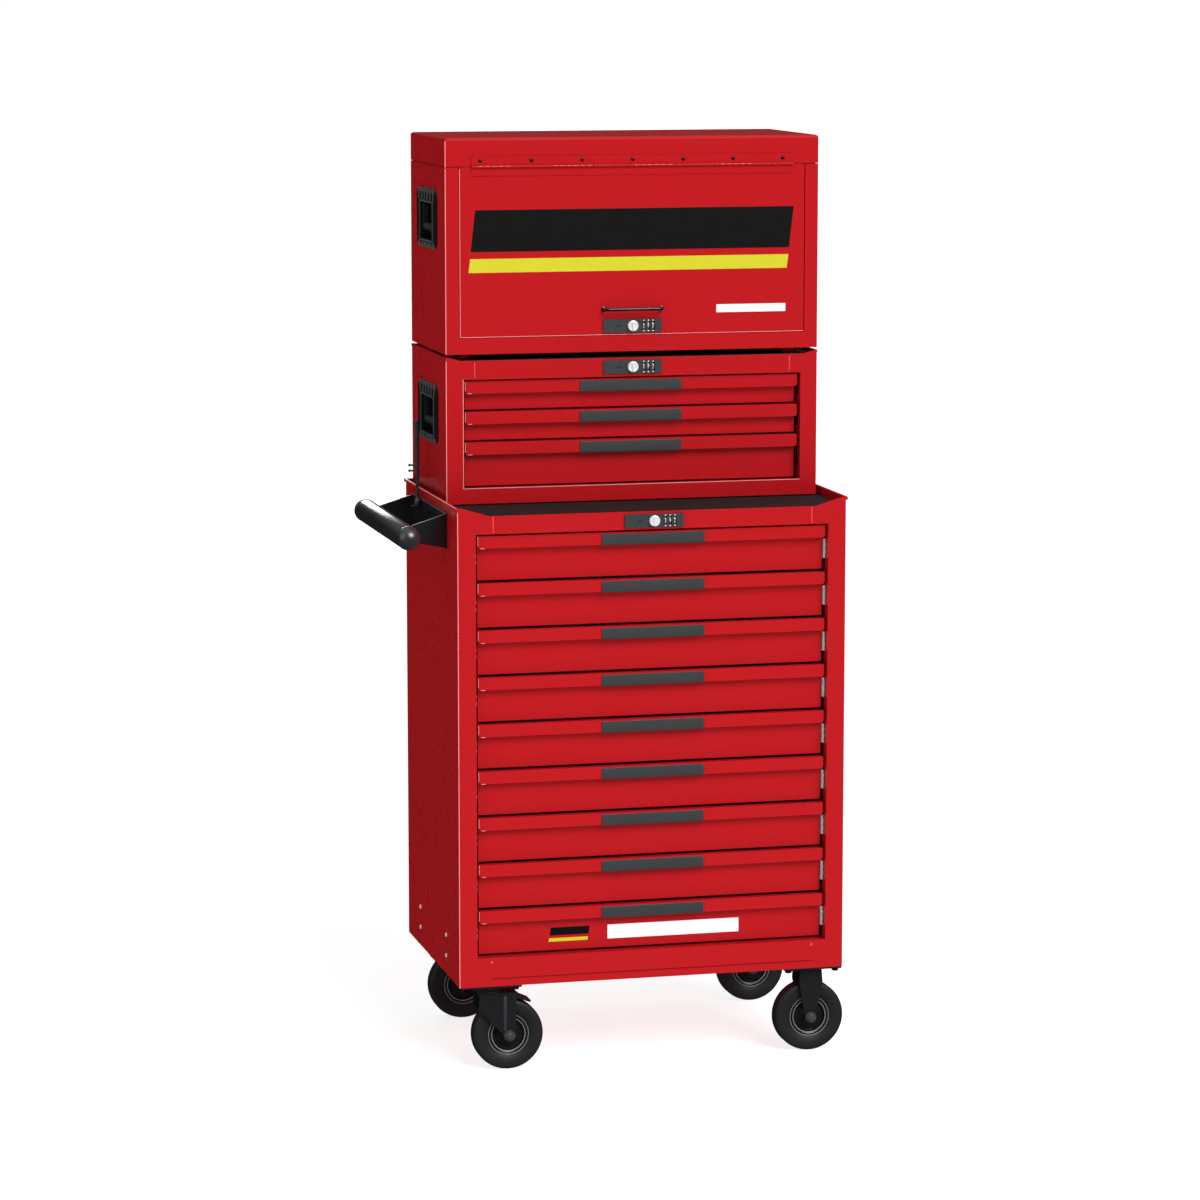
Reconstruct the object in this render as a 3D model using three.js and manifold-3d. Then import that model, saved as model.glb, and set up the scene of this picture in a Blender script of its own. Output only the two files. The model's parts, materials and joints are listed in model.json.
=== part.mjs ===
// A rolling tool chest in three stages: a nine-drawer roller cabinet on four casters, a three-drawer middle box
// and a top box with a rear-hinged lid, from whose front edge a large flap hangs over the compartment.
// Lengths are millimetres. In the cabinet's own coordinates x runs along the drawer fronts from the middle of the
// cabinet, y runs back from its front face and z runs up from the floor.
import * as THREE from 'three';
import Module from 'manifold-3d';
import { mergeVertices } from 'three/addons/utils/BufferGeometryUtils.js';

const wasm = await Module();
wasm.setup();

// ---------------------------------------------------------------------------------------- driving dimensions
const SHEET = 1.5; // steel sheet of the cases
const THIN = 1.2; // steel sheet of drawers, lid and flap
const GAP = 0.3; // clearance between pieces that touch
const BITE = 0.2; // how far two joined stretches of one piece run into each other
const RETURN = 22; // depth of the folded edge round a drawer opening
const ROUND = 20; // sides of a turned piece

const CABINET = {
  half: 346, front: 0, back: 450, bottom: 155, top: 993.5,
  frontTop: 979, slopeStart: 340, slopeEnd: 291, floorTop: 977.5,
  openHalf: 314.5, openBottom: 205.9, openTop: 947.4,
};
const MIDDLE = {
  half: 334.5, front: 144, back: 444, bottom: 982, top: 1238.5,
  frontTop: 1232, slopeStart: 332, slopeEnd: 309, floorTop: 1229,
  openHalf: 304.5, openBottom: 1009, openTop: 1199,
};
const TOP = {
  half: 334.5, front: 144, back: 444, bottom: 1243, top: 1567, lidGap: 1, lidTop: 1616.5, lidEdge: 5,
  openHalf: 311, openBottom: 1271, shelf: 1380, tillFloor: 1516, tillFront: 160,
};

const DRAWER = {
  railFront: 5, panel: 18, railHeight: 21.5, railCorner: 5, sideGap: 4.5, boxInset: 15, boxFloor: 3,
};
const CABINET_DRAWERS = { count: 9, pitch: 82, height: 78, top: 943.9, back: 424, runner: 28 };
const MIDDLE_DRAWERS = { heights: [50.5, 50.5, 77], tops: [1196, 1142.5, 1089], back: 280, runner: 20 };

const LOCK = { width: 105, height: 23.6, proud: 3, depth: 24, left: 20, right: 44, knob: 9.5, dial: 6.8, dialX: 28.3 };
const LOCK_HEIGHTS = { cabinet: 962.6, middle: 1216, flap: 1287.7 };
const UPPER_FITTINGS_X = -2; // the locks and the pull of the two upper boxes sit a little left of the middle

const HANDLE = { width: 165, height: 100, proud: 3, panWidth: 108, panTop: 27, panBottom: -38, panDepth: 16 };
const BAIL = { half: 46, pivotX: 5, pivotZ: 20, reach: 37, grip: 4.5 };
const HANDLE_HEIGHTS = { middle: 1131, top: 1472 };

const PUSH = { front: 87, back: 380, sheet: 2.5, top: 974.5, bottom: 913.5, axisX: -424, axisZ: 940, grip: 21 };
const GRIP_ENDS = { front: 38, back: 429 };
const POST = { x: -355, y: 302, foot: 962.8, rod: 3, tube: 4.3, tubeBottom: 1037, tubeTop: 1109, tip: 1114.5 };

const CASTER = {
  left: -288, right: 293, front: 37, rear: 413, trail: 33, axle: 62.5, wheel: 62.5, tyreHalf: 17, rim: 36,
  hubHalf: 19, legIn: 20.5, legOut: 23.5, bolt: 5, boltSides: 14, crown: 136, plateLong: 105, plateWide: 72, plateTop: 154.7,
};
const PEDAL = { x: 38.5, z: 131.5, tube: 4.2, pin: 2.5, half: 17 };

const FLAP = { half: 309.5, bottom: 1272.2, top: 1566.2, front: 144.4, deep: 12 };
const HINGE = { r: 2.2, half: 289, knuckles: 8, play: 1 };
const FLAP_AXIS = { y: 141.5, z: 1566.6 };
const LID_AXIS = { y: 446.5, z: 1567 };
const PULL = { half: 52, z: 1317, out: 131, r: 3 };

// The part's origin is on the floor, below the middle of everything it reaches: from the push handle's grip to the
// fixed wheels on the other side, and from the knob on the cabinet to its back.
const RIM = 3.5;
const LEFT_REACH = PUSH.axisX - PUSH.grip;
const RIGHT_REACH = CASTER.right + CASTER.wheel;
const FRONT_REACH = -11.5;
const ORIGIN = { x: (LEFT_REACH + RIGHT_REACH) / 2, y: (FRONT_REACH + CABINET.back) / 2 };

// ---------------------------------------------------------------------------------------- materials
const paint = (colour, roughness, metalness) => new THREE.MeshStandardMaterial({ color: colour, roughness, metalness });
const RED = paint(0xbb1a22, 0.35, 0.1);
const BLACK_STEEL = paint(0x1a1b1c, 0.45, 0.3);
const BLACK_PLASTIC = paint(0x242526, 0.5, 0);
const RUBBER = paint(0x2b2c2d, 0.8, 0);
const DARK_PLASTIC = paint(0x3c3f42, 0.5, 0);
const ZINC = paint(0xb9bdc0, 0.35, 0.9);
const SATIN = paint(0xd8dadb, 0.3, 0.8);

// ---------------------------------------------------------------------------------------- solids
const GRID = 512; // corners lie on a grid of 1/512 mm, so that faces meant to share a plane do share it

function signedVolume(position, index) {
  let six = 0;
  const [a, b, c] = [new THREE.Vector3(), new THREE.Vector3(), new THREE.Vector3()];
  for (let i = 0; i < index.length; i += 3) {
    a.fromArray(position, index[i] * 3);
    b.fromArray(position, index[i + 1] * 3);
    c.fromArray(position, index[i + 2] * 3);
    six += a.dot(b.cross(c));
  }
  return six;
}

function toSolid(geometry) {
  const bare = geometry.index ? geometry.toNonIndexed() : geometry.clone();
  bare.deleteAttribute('normal');
  bare.deleteAttribute('uv');
  const array = bare.attributes.position.array;
  for (let i = 0; i < array.length; i += 1) array[i] = Math.round(array[i] * GRID) / GRID;
  const merged = mergeVertices(bare, 1e-4);
  const position = new Float32Array(merged.attributes.position.array);
  const kept = [];
  for (let i = 0; i < merged.index.count; i += 3) {
    const [a, b, c] = [0, 1, 2].map((k) => merged.index.getX(i + k));
    if (a !== b && b !== c && c !== a) kept.push(a, b, c);
  }
  if (signedVolume(position, kept) < 0) kept.reverse();
  const triVerts = new Uint32Array(kept);
  return new wasm.Manifold(new wasm.Mesh({ numProp: 3, vertProperties: position, triVerts }));
}

function toGeometry(solid) {
  const mesh = solid.getMesh();
  const geometry = new THREE.BufferGeometry();
  geometry.setAttribute('position', new THREE.BufferAttribute(new Float32Array(mesh.vertProperties), 3));
  geometry.setIndex(new THREE.BufferAttribute(new Uint32Array(mesh.triVerts), 1));
  geometry.computeVertexNormals();
  return geometry;
}

const join = (...solids) => solids.flat().reduce((whole, next) => whole.add(next));
const cut = (solid, ...tools) => tools.flat().reduce((rest, tool) => rest.subtract(tool), solid);

function block(x0, x1, y0, y1, z0, z1) {
  const geometry = new THREE.BoxGeometry(x1 - x0, y1 - y0, z1 - z0);
  return toSolid(geometry.translate((x0 + x1) / 2, (y0 + y1) / 2, (z0 + z1) / 2));
}

// The same block on both sides of the plane x = 0.
const blocks = (x0, x1, ...rest) => [block(x0, x1, ...rest), block(-x1, -x0, ...rest)];

function outline(points) {
  return new THREE.Shape(points.map(([a, b]) => new THREE.Vector2(a, b)));
}

function roundedOutline(half, low, high, radius) {
  const shape = new THREE.Shape();
  shape.absarc(half - radius, high - radius, radius, 0, Math.PI / 2);
  shape.absarc(-half + radius, high - radius, radius, Math.PI / 2, Math.PI);
  shape.absarc(-half + radius, low + radius, radius, Math.PI, Math.PI * 1.5);
  shape.absarc(half - radius, low + radius, radius, Math.PI * 1.5, Math.PI * 2);
  return shape;
}

// A shape drawn in y and z, pushed out along x.
function prismX(shape, x0, x1) {
  const geometry = new THREE.ExtrudeGeometry(shape, { depth: x1 - x0, bevelEnabled: false, curveSegments: 2 });
  const turn = new THREE.Matrix4().makeBasis(
    new THREE.Vector3(0, 1, 0), new THREE.Vector3(0, 0, 1), new THREE.Vector3(1, 0, 0),
  );
  return toSolid(geometry.applyMatrix4(turn).translate(x0, 0, 0));
}

// A shape drawn in x and z, pushed out along y.
function prismY(shape, y0, y1) {
  const geometry = new THREE.ExtrudeGeometry(shape, { depth: y1 - y0, bevelEnabled: false, curveSegments: 2 });
  return toSolid(geometry.rotateX(Math.PI / 2).translate(0, y1, 0));
}

// A profile of [radius, height] turned about an axis through the origin.
function turned(profile, axis, sides = ROUND) {
  const half = Math.PI / sides;
  const points = profile.map(([r, h]) => new THREE.Vector2(r, h));
  const geometry = new THREE.LatheGeometry(points, sides, half);
  if (axis === 'x') geometry.rotateZ(-Math.PI / 2);
  if (axis === 'z') geometry.rotateX(Math.PI / 2);
  return toSolid(geometry);
}

const rod = (r, h0, h1, axis, sides = ROUND) => turned([[0, h0], [r, h0], [r, h1], [0, h1]], axis, sides);

// The radius at the corners of a turned piece whose flats lie at the given radius.
const overFlats = (radius, sides = ROUND) => radius / Math.cos(Math.PI / sides);

const chest = new THREE.Group();
chest.position.set(-ORIGIN.x, -ORIGIN.y, 0);

function place(name, solid, material, x = 0, y = 0, z = 0, parent = chest) {
  const mesh = new THREE.Mesh(toGeometry(solid), material);
  mesh.name = name;
  mesh.position.set(x, y, z);
  parent.add(mesh);
  return mesh;
}

// ---------------------------------------------------------------------------------------- cases
// A case with a drawer opening in front and a shallow tray on top, whose front wall is lower between two slopes.
// The side walls end in a rolled rim that stands out sideways by the given amount.
function drawerCase(c, rim) {
  const inside = c.half - SHEET;
  const outer = outline([
    [-c.half, c.bottom], [c.half, c.bottom], [c.half, c.top - 5], [c.half + rim, c.top - 5],
    [c.half + rim, c.top], [-c.half - rim, c.top], [-c.half - rim, c.top - 5], [-c.half, c.top - 5],
  ]);
  const slope = (c.slopeStart - c.slopeEnd) / (c.top - c.frontTop);
  const notch = outline([
    [-c.slopeEnd, c.frontTop], [c.slopeEnd, c.frontTop],
    [c.slopeStart + slope, c.top + 1], [-c.slopeStart - slope, c.top + 1],
  ]);
  const hollow = cut(
    prismY(outer, c.front, c.back),
    block(-inside, inside, c.front + SHEET, c.back - SHEET, c.bottom + SHEET, c.floorTop - SHEET),
    block(-inside, inside, c.front + SHEET, c.back - SHEET, c.floorTop, c.top + 1),
    prismY(notch, c.front - 1, c.front + SHEET + 1),
  );
  const fold = c.openHalf + SHEET;
  const edge = block(-fold, fold, c.front + 0.5, c.front + RETURN, c.openBottom - SHEET, c.openTop + SHEET);
  const opening = block(-c.openHalf, c.openHalf, c.front - 1, c.front + RETURN + 1, c.openBottom, c.openTop);
  return cut(join(hollow, edge), opening);
}

function lockCutout(x, z, y0, y1) {
  const half = LOCK.height / 2 - 1.5;
  return block(x - LOCK.left - 1, x + LOCK.right + 1, y0, y1, z - half, z + half);
}

// The folded lower edge of the cabinet's front stands back a little below a crease.
function creaseRecess() {
  const shape = outline([[-327, 150], [327, 150], [317, 161], [290, 169], [-290, 169], [-317, 161]]);
  return prismY(shape, -1, 0.7);
}

function cabinetShell() {
  const c = CABINET;
  const behindCrease = block(-331, 331, SHEET - BITE, SHEET + 0.7, c.bottom + 0.6, 171);
  const shell = join(drawerCase(c, RIM), behindCrease);
  return cut(shell, lockCutout(0, LOCK_HEIGHTS.cabinet, -1, 3), creaseRecess());
}

const FOOT_INSET = 40;

// Four round bosses under a box, which its fixing bolts pass through.
function feet(c, down) {
  const spots = [[-1, 0], [1, 0], [-1, 1], [1, 1]];
  return spots.map(([side, rear]) => {
    const y = rear ? c.back - FOOT_INSET : c.front + FOOT_INSET;
    return rod(12, down, c.bottom + BITE, 'z', 8).translate([side * (c.half - FOOT_INSET), y, 0]);
  });
}

function handleCutouts(c, z) {
  const y = (c.front + c.back) / 2;
  const half = HANDLE.panWidth / 2 + 2;
  return blocks(c.half - 5, c.half + 1, y - half, y + half, z + HANDLE.panBottom - 2, z + HANDLE.panTop + 2);
}

// ---------------------------------------------------------------------------------------- slides
// The fixed members of the drawer slides on one side: a liner and a pair of lips for each drawer's runner, pressed
// from one sheet. Each pair is given by its middle height.
function slideLiner(side, wall, y0, y1, low, high, middles, runner) {
  const far = side * (wall + SHEET);
  const near = side * wall;
  const lip = side * (wall - 11);
  const reach = runner / 2 + 4;
  const points = [[far, low], [near, low]];
  middles.forEach((z) => points.push(
    [near, z - reach - THIN], [lip, z - reach - THIN], [lip, z - reach], [near, z - reach],
    [near, z + reach], [lip, z + reach], [lip, z + reach + THIN], [near, z + reach + THIN],
  ));
  points.push([near, high], [far, high]);
  return prismY(outline(points), y0, y1);
}

const runnerHeight = (height) => height * 0.46;

// The posts that hold a liner on the side wall of its case.
function slidePosts(side, from, to, front, back, low, high) {
  const [x0, x1] = side < 0 ? [-to, -from] : [from, to];
  return [[front + 18, front + 38], [back - 40, back - 20]].map(([y0, y1]) => block(x0, x1, y0, y1, low, high));
}

function slideCarrier(side) {
  const c = CABINET;
  const wall = c.openHalf;
  const low = c.openBottom + 2;
  const high = c.openTop - 2;
  const middles = [];
  for (let i = CABINET_DRAWERS.count - 1; i >= 0; i -= 1) {
    const bottom = CABINET_DRAWERS.top - CABINET_DRAWERS.pitch * i - CABINET_DRAWERS.height;
    middles.push(bottom + runnerHeight(CABINET_DRAWERS.height));
  }
  const front = RETURN + 2;
  const liner = slideLiner(side, wall, front, 440, low, high, middles, CABINET_DRAWERS.runner);
  const posts = slidePosts(side, wall + 0.6, c.half - SHEET - GAP, front, 440, low + 1, high - 1);
  return join(liner, posts);
}

function middleSlides() {
  const c = MIDDLE;
  const wall = c.openHalf + 0.4;
  const front = c.front + RETURN - 0.5;
  const back = c.back - 12;
  const middles = MIDDLE_DRAWERS.heights.map((h, i) => MIDDLE_DRAWERS.tops[i] - h + runnerHeight(h)).reverse();
  return [-1, 1].flatMap((side) => [
    slideLiner(side, wall, front, back, c.openBottom - 0.7, c.openTop + 0.7, middles, MIDDLE_DRAWERS.runner),
    slidePosts(side, wall + 0.6, c.half - 0.7, front, back, c.openBottom + 1, c.openTop - 1),
  ]).flat();
}

function middleShell() {
  const shell = join(drawerCase(MIDDLE, 1), middleSlides(), feet(MIDDLE, CABINET.floorTop + GAP));
  const lock = lockCutout(UPPER_FITTINGS_X, LOCK_HEIGHTS.middle, MIDDLE.front - 1, MIDDLE.front + 3);
  return cut(shell, lock, handleCutouts(MIDDLE, HANDLE_HEIGHTS.middle));
}

// ---------------------------------------------------------------------------------------- drawers
// A drawer with its own bottom edge at z = 0 and the face of its case at y = 0.
function drawer(openHalf, height, back, runner) {
  const d = DRAWER;
  const half = openHalf - d.sideGap;
  const low = height - d.railHeight;
  const r = d.railCorner;
  const rail = outline([[half, height], [-half, height]]);
  rail.absarc(-half + r, low + r, r, Math.PI, Math.PI * 1.5);
  rail.absarc(half - r, low + r, r, Math.PI * 1.5, Math.PI * 2);
  const box = openHalf - d.boxInset;
  const wall = height - 16;
  const z = runnerHeight(height);
  const body = join(
    prismY(rail, d.railFront, d.panel + 0.6),
    block(-half + 1.5, half - 1.5, d.panel, d.panel + THIN, 0, height - 0.8),
    block(-box, box, d.panel + 0.8, back, d.boxFloor, wall),
    blocks(box - 0.5, box + 9.7, d.panel + 8, back - 4, z - runner / 2, z + runner / 2),
  );
  const inside = box - THIN;
  return cut(body, block(-inside, inside, d.panel + 1.7, back - THIN, d.boxFloor + THIN, wall + 1));
}

// ---------------------------------------------------------------------------------------- locks
// The combination lock, with its cover plate's back face at y = 0 and its centre at x = 0, z = 0.
function lockCase() {
  const l = LOCK;
  const plate = prismY(roundedOutline(l.width / 2, -l.height / 2, l.height / 2, 1.5), -l.proud, -GAP);
  const body = block(-l.left, l.right, -GAP - BITE, l.depth, -l.height / 2 + 2.2, l.height / 2 - 2.2);
  const window = block(l.dialX - 13, l.dialX + 13, -l.proud - 1, 12, -7.2, 7.2);
  const spindle = rod(3.5, -l.proud - 1, l.depth + 1, 'y', 12);
  return cut(join(plate, body), window, spindle);
}

// The knob, its spindle and the cam behind the lock.
function lockKnob() {
  const l = LOCK;
  const face = -l.proud - GAP;
  const cap = turned([[0, face], [l.knob, face], [l.knob, face - 5], [l.knob - 1.5, face - 6], [0, face - 6]], 'y', 16);
  const bar = block(-2.2, 2.2, face - 8, face - 5, -l.knob + 2, l.knob - 2);
  const spindle = rod(3, face - 1, l.depth + 2, 'y', 12);
  const cam = block(-4, 11, l.depth + 0.6, l.depth + 3, -4, 4);
  return join(cap, bar, spindle, cam);
}

// Three number wheels on one axle, with a shallow groove between each two.
function lockDials() {
  const half = 12.5;
  const groove = LOCK.dial - 1.2;
  const profile = [[0, -half], [LOCK.dial, -half]];
  [-4.2, 4.2].forEach((x) => profile.push(
    [LOCK.dial, x - 0.9], [groove, x], [LOCK.dial, x + 0.9],
  ));
  profile.push([LOCK.dial, half], [0, half]);
  return turned(profile, 'x', 12);
}

function placeLock(prefix, x, y, z) {
  place(`${prefix}_lock_case`, lockCase(), DARK_PLASTIC, x, y, z);
  place(`${prefix}_lock_knob`, lockKnob(), SATIN, x, y, z);
  place(`${prefix}_lock_dials`, lockDials(), DARK_PLASTIC, x + LOCK.dialX, y + 4, z);
}

// ---------------------------------------------------------------------------------------- carry handles
// The recessed plate of a carry handle, with the side of its case at x = 0 and the outside towards -x.
function handlePlate() {
  const h = HANDLE;
  const half = h.panWidth / 2;
  const face = prismX(roundedOutline(h.width / 2, -h.height / 2, h.height / 2, 14), -h.proud, -GAP);
  const pan = block(-GAP - BITE, h.panDepth, -half - THIN, half + THIN, h.panBottom - THIN, h.panTop + THIN);
  const hollow = block(-h.proud - 1, h.panDepth - THIN, -half, half, h.panBottom, h.panTop);
  const grooves = [-48, -24, 0, 24, 48].map((y) => block(-h.proud - 1, -h.proud + 1.4, y - 5, y + 5, 31, 44));
  const pins = rod(2.9, -half - 3, half + 3, 'y', 8).translate([BAIL.pivotX, 0, BAIL.pivotZ]);
  return cut(join(face, pan), hollow, grooves, pins);
}

// The swinging bail, with its pivot at the origin and its grip hanging below.
function handleBail() {
  const b = BAIL;
  const arm = [[0, 5], [3.5, 3.5], [4, 0], [4, -b.reach], [-4, -b.reach], [-4, 0], [-3.5, 3.5]];
  const shape = outline(arm);
  const grip = rod(b.grip, -b.half + 0.7, b.half - 0.7, 'y', 10).translate([0, 0, -b.reach]);
  const pin = rod(2.5, -b.half - 8.5, b.half + 8.5, 'y', 8);
  const between = block(-6, 6, -b.half + 6, b.half - 6, -6, 6);
  return cut(join(prismY(shape, -b.half, -b.half + 5), prismY(shape, b.half - 5, b.half), grip, pin), between);
}

function placeHandles(prefix, c, z) {
  ['left', 'right'].forEach((side) => {
    const group = new THREE.Group();
    const sign = side === 'left' ? -1 : 1;
    group.position.set(sign * c.half, (c.front + c.back) / 2, z);
    group.rotation.z = side === 'left' ? 0 : Math.PI;
    chest.add(group);
    place(`${prefix}_handle_plate_${side}`, handlePlate(), BLACK_STEEL, 0, 0, 0, group);
    place(`${prefix}_handle_bail_${side}`, handleBail(), BLACK_PLASTIC, BAIL.pivotX, 0, BAIL.pivotZ, group);
  });
}

// ---------------------------------------------------------------------------------------- top box
// Every second knuckle of a piano hinge, each with the tab that joins it to the leaf on its own piece.
function knuckles(axis, first, tab) {
  const pitch = (2 * HINGE.half) / HINGE.knuckles;
  const made = [];
  for (let k = first; k < HINGE.knuckles; k += 2) {
    const x0 = -HINGE.half + pitch * k + HINGE.play / 2;
    const x1 = x0 + pitch - HINGE.play;
    made.push(rod(HINGE.r, x0, x1, 'x', 8).translate([0, axis.y, axis.z]));
    made.push(block(x0, x1, ...tab));
  }
  return made;
}

const REAR_LEAF = [TOP.back - BITE, TOP.back + THIN];
const LID_LEAF = [FLAP_AXIS.y + 0.9, TOP.front + BITE];
const FLAP_LEAF = [FLAP.front - THIN, FLAP.front + BITE];

function topShell() {
  const c = TOP;
  const high = c.top - c.lidGap;
  const inside = c.half - SHEET;
  const hollow = cut(
    block(-c.half, c.half, c.front, c.back, c.bottom, high),
    block(-inside, inside, c.front + SHEET, c.back - SHEET, c.bottom + SHEET, high + 1),
  );
  const fold = c.openHalf + SHEET;
  const edges = blocks(c.openHalf - 1, fold, c.front + 0.5, c.front + 10, c.openBottom - 0.7, high - 0.5);
  const opening = block(-c.openHalf, c.openHalf, c.front - 1, c.front + 11, c.openBottom, high + 2);
  const shell = join(
    cut(join(hollow, edges), opening),
    block(-c.half + 0.5, c.half - 0.5, 180, c.back - 0.5, c.shelf, c.shelf + THIN),
    block(-c.half + 0.7, c.half - 0.7, c.tillFront, c.back - 0.7, c.tillFloor, c.tillFloor + THIN),
    feet(c, MIDDLE.floorTop + GAP),
    block(-HINGE.half, HINGE.half, ...REAR_LEAF, LID_AXIS.z - 19, LID_AXIS.z - 2.8),
    knuckles(LID_AXIS, 0, [c.back - 0.1, c.back + 1, LID_AXIS.z - 3.1, LID_AXIS.z - 0.4]),
  );
  return cut(shell, handleCutouts(c, HANDLE_HEIGHTS.top));
}

// An outline with its two upper corners rounded.
function archOutline(left, right, low, high, radius) {
  const shape = outline([[left, low], [right, low]]);
  shape.absarc(right - radius, high - radius, radius, 0, Math.PI / 2);
  shape.absarc(left + radius, high - radius, radius, Math.PI / 2, Math.PI);
  return shape;
}

// A block whose upper edges are rounded on all four sides.
function softBlock(half, front, back, low, high, radius) {
  const along = prismY(archOutline(-half, half, low, high, radius), front, back);
  return along.intersect(prismX(archOutline(front, back, low, high, radius), -half, half));
}

function lid() {
  const c = TOP;
  const t = THIN;
  const outer = softBlock(c.half, c.front, c.back, c.top, c.lidTop, c.lidEdge);
  const inner = softBlock(c.half - t, c.front + t, c.back - t, c.top - 1, c.lidTop - t, c.lidEdge - t);
  const rearLeaf = block(-HINGE.half, HINGE.half, ...REAR_LEAF, LID_AXIS.z + 2.8, LID_AXIS.z + 19);
  const frontLeaf = block(-HINGE.half, HINGE.half, ...LID_LEAF, FLAP_AXIS.z + 2.6, FLAP_AXIS.z + 18);
  return join(
    cut(outer, inner), rearLeaf, frontLeaf,
    knuckles(LID_AXIS, 1, [c.back - 0.1, c.back + 1, LID_AXIS.z + 0.4, LID_AXIS.z + 3.1]),
    knuckles(FLAP_AXIS, 0, [LID_LEAF[0] + 0.1, c.front - 0.2, FLAP_AXIS.z + 0.6, FLAP_AXIS.z + 2.9]),
  );
}

function flap() {
  const f = FLAP;
  const outer = block(-f.half, f.half, f.front, f.front + f.deep, f.bottom, f.top);
  const inner = block(
    -f.half + THIN, f.half - THIN, f.front + THIN, f.front + f.deep + 1, f.bottom + THIN, f.top - THIN,
  );
  const leaf = block(-HINGE.half, HINGE.half, ...FLAP_LEAF, FLAP_AXIS.z - 16, FLAP_AXIS.z - 2.6);
  const tab = [FLAP_AXIS.y + 1, FLAP.front + 0.5, FLAP_AXIS.z - 2.8, FLAP_AXIS.z - 0.6];
  const pan = join(cut(outer, inner), leaf, knuckles(FLAP_AXIS, 1, tab));
  return cut(pan, lockCutout(UPPER_FITTINGS_X, LOCK_HEIGHTS.flap, f.front - 1, f.front + 3));
}

function flapPull() {
  const p = PULL;
  const bend = 6;
  const path = new THREE.CurvePath();
  const at = (x, y) => new THREE.Vector3(x, y, 0);
  const far = FLAP.front - GAP;
  path.add(new THREE.LineCurve3(at(-p.half, far), at(-p.half, p.out + bend)));
  path.add(new THREE.QuadraticBezierCurve3(at(-p.half, p.out + bend), at(-p.half, p.out), at(-p.half + bend, p.out)));
  path.add(new THREE.LineCurve3(at(-p.half + bend, p.out), at(p.half - bend, p.out)));
  path.add(new THREE.QuadraticBezierCurve3(at(p.half - bend, p.out), at(p.half, p.out), at(p.half, p.out + bend)));
  path.add(new THREE.LineCurve3(at(p.half, p.out + bend), at(p.half, far)));
  const section = new THREE.Shape().absarc(0, 0, p.r, 0, Math.PI * 2);
  const bar = new THREE.ExtrudeGeometry(section, { steps: 14, curveSegments: 4, extrudePath: path, bevelEnabled: false });
  return toSolid(bar);
}

// ---------------------------------------------------------------------------------------- push handle and post
function armOutline(grow) {
  const p = PUSH;
  const start = -CABINET.half - GAP - 0.8;
  return outline([
    [start, p.top - 0.7 + grow], [start, p.bottom + 0.7 - grow], [-394, 923.3 - grow], [p.axisX, 929.5 - grow],
    [p.axisX - 9 - grow, 934 - grow], [p.axisX - 9 - grow, 945 + grow], [p.axisX, 949.5 + grow], [-407, 955.1 + grow],
  ]);
}

const ARM_STARTS = [PUSH.front + 0.4, PUSH.back - PUSH.sheet - 0.4];

function pushBracket() {
  const p = PUSH;
  const skin = -CABINET.half - GAP;
  const back = block(skin - p.sheet, skin, p.front, p.back, p.bottom, p.top);
  const lug = block(-366, skin - 0.8, POST.y - 10, POST.y + 10, POST.foot - GAP - 3, POST.foot - GAP);
  return join(back, lug, ARM_STARTS.map((y) => prismY(armOutline(0), y, y + p.sheet)));
}

function pushGrip() {
  const steps = 4;
  const profile = [];
  for (let i = 0; i <= steps; i += 1) {
    const a = (Math.PI / 2) * (i / steps);
    profile.push([PUSH.grip * Math.sin(a), GRIP_ENDS.front - PUSH.grip * Math.cos(a)]);
  }
  for (let i = steps; i >= 0; i -= 1) {
    const a = (Math.PI / 2) * (i / steps);
    profile.push([PUSH.grip * Math.sin(a), GRIP_ENDS.back + PUSH.grip * Math.cos(a)]);
  }
  const bar = turned(profile, 'y', 18).translate([PUSH.axisX, 0, PUSH.axisZ]);
  return cut(bar, ARM_STARTS.map((y) => prismY(armOutline(GAP), y - GAP, y + PUSH.sheet + GAP)));
}

// A slender stepped rod with two spring clips, which stands on the lug of the push handle's bracket.
function clipPost() {
  const p = POST;
  const rings = [1025, 1035];
  const stem = turned([
    [0, p.foot], [6, p.foot], [6, p.foot + 8], [3.5, p.foot + 14], [p.rod, p.foot + 16], [p.rod, p.tubeBottom],
    [p.tube, p.tubeBottom], [p.tube, p.tubeTop], [5, p.tubeTop], [5, p.tip], [0, p.tip],
  ], 'z', 10);
  const clips = rings.flatMap((z) => [
    rod(5.4, z - 1.5, z + 1.5, 'z', 10),
    rod(1.9, -13.5, 0, 'x', 6).translate([0, 0, z]),
    turned([[0, -2.8], [2.3, -1.6], [2.8, 0], [2.3, 1.6], [0, 2.8]], 'z', 6).translate([-13.5, 0, z]),
  ]);
  return join(stem, clips);
}

// ---------------------------------------------------------------------------------------- casters
// Caster pieces stand at x = 0, y = 0 under their own swivel axis, or above the wheel's middle on a fixed fork.
const AXLE = CASTER.axle;

function legOutline(x, topLeft, topRight, high) {
  return outline([
    [topLeft, high], [topRight, high], [topRight + 2, high - 26], [x + 10.5, AXLE + 4], [x + 8, AXLE - 8],
    [x, AXLE - 11.5], [x - 8, AXLE - 8], [x - 10.5, AXLE + 4], [topLeft - 2, high - 26],
  ]);
}

function forkLegs(shape) {
  const { legIn, legOut } = CASTER;
  return [prismY(shape, legIn, legOut), prismY(shape, -legOut, -legIn)];
}

const boltHole = (x) => rod(CASTER.bolt + GAP, -30, 30, 'y', CASTER.boltSides).translate([x, 0, AXLE]);

function casterPlateSheet() {
  const { plateLong, plateWide, plateTop } = CASTER;
  return block(-plateLong / 2, plateLong / 2, -plateWide / 2, plateWide / 2, plateTop - 3, plateTop);
}

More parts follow.
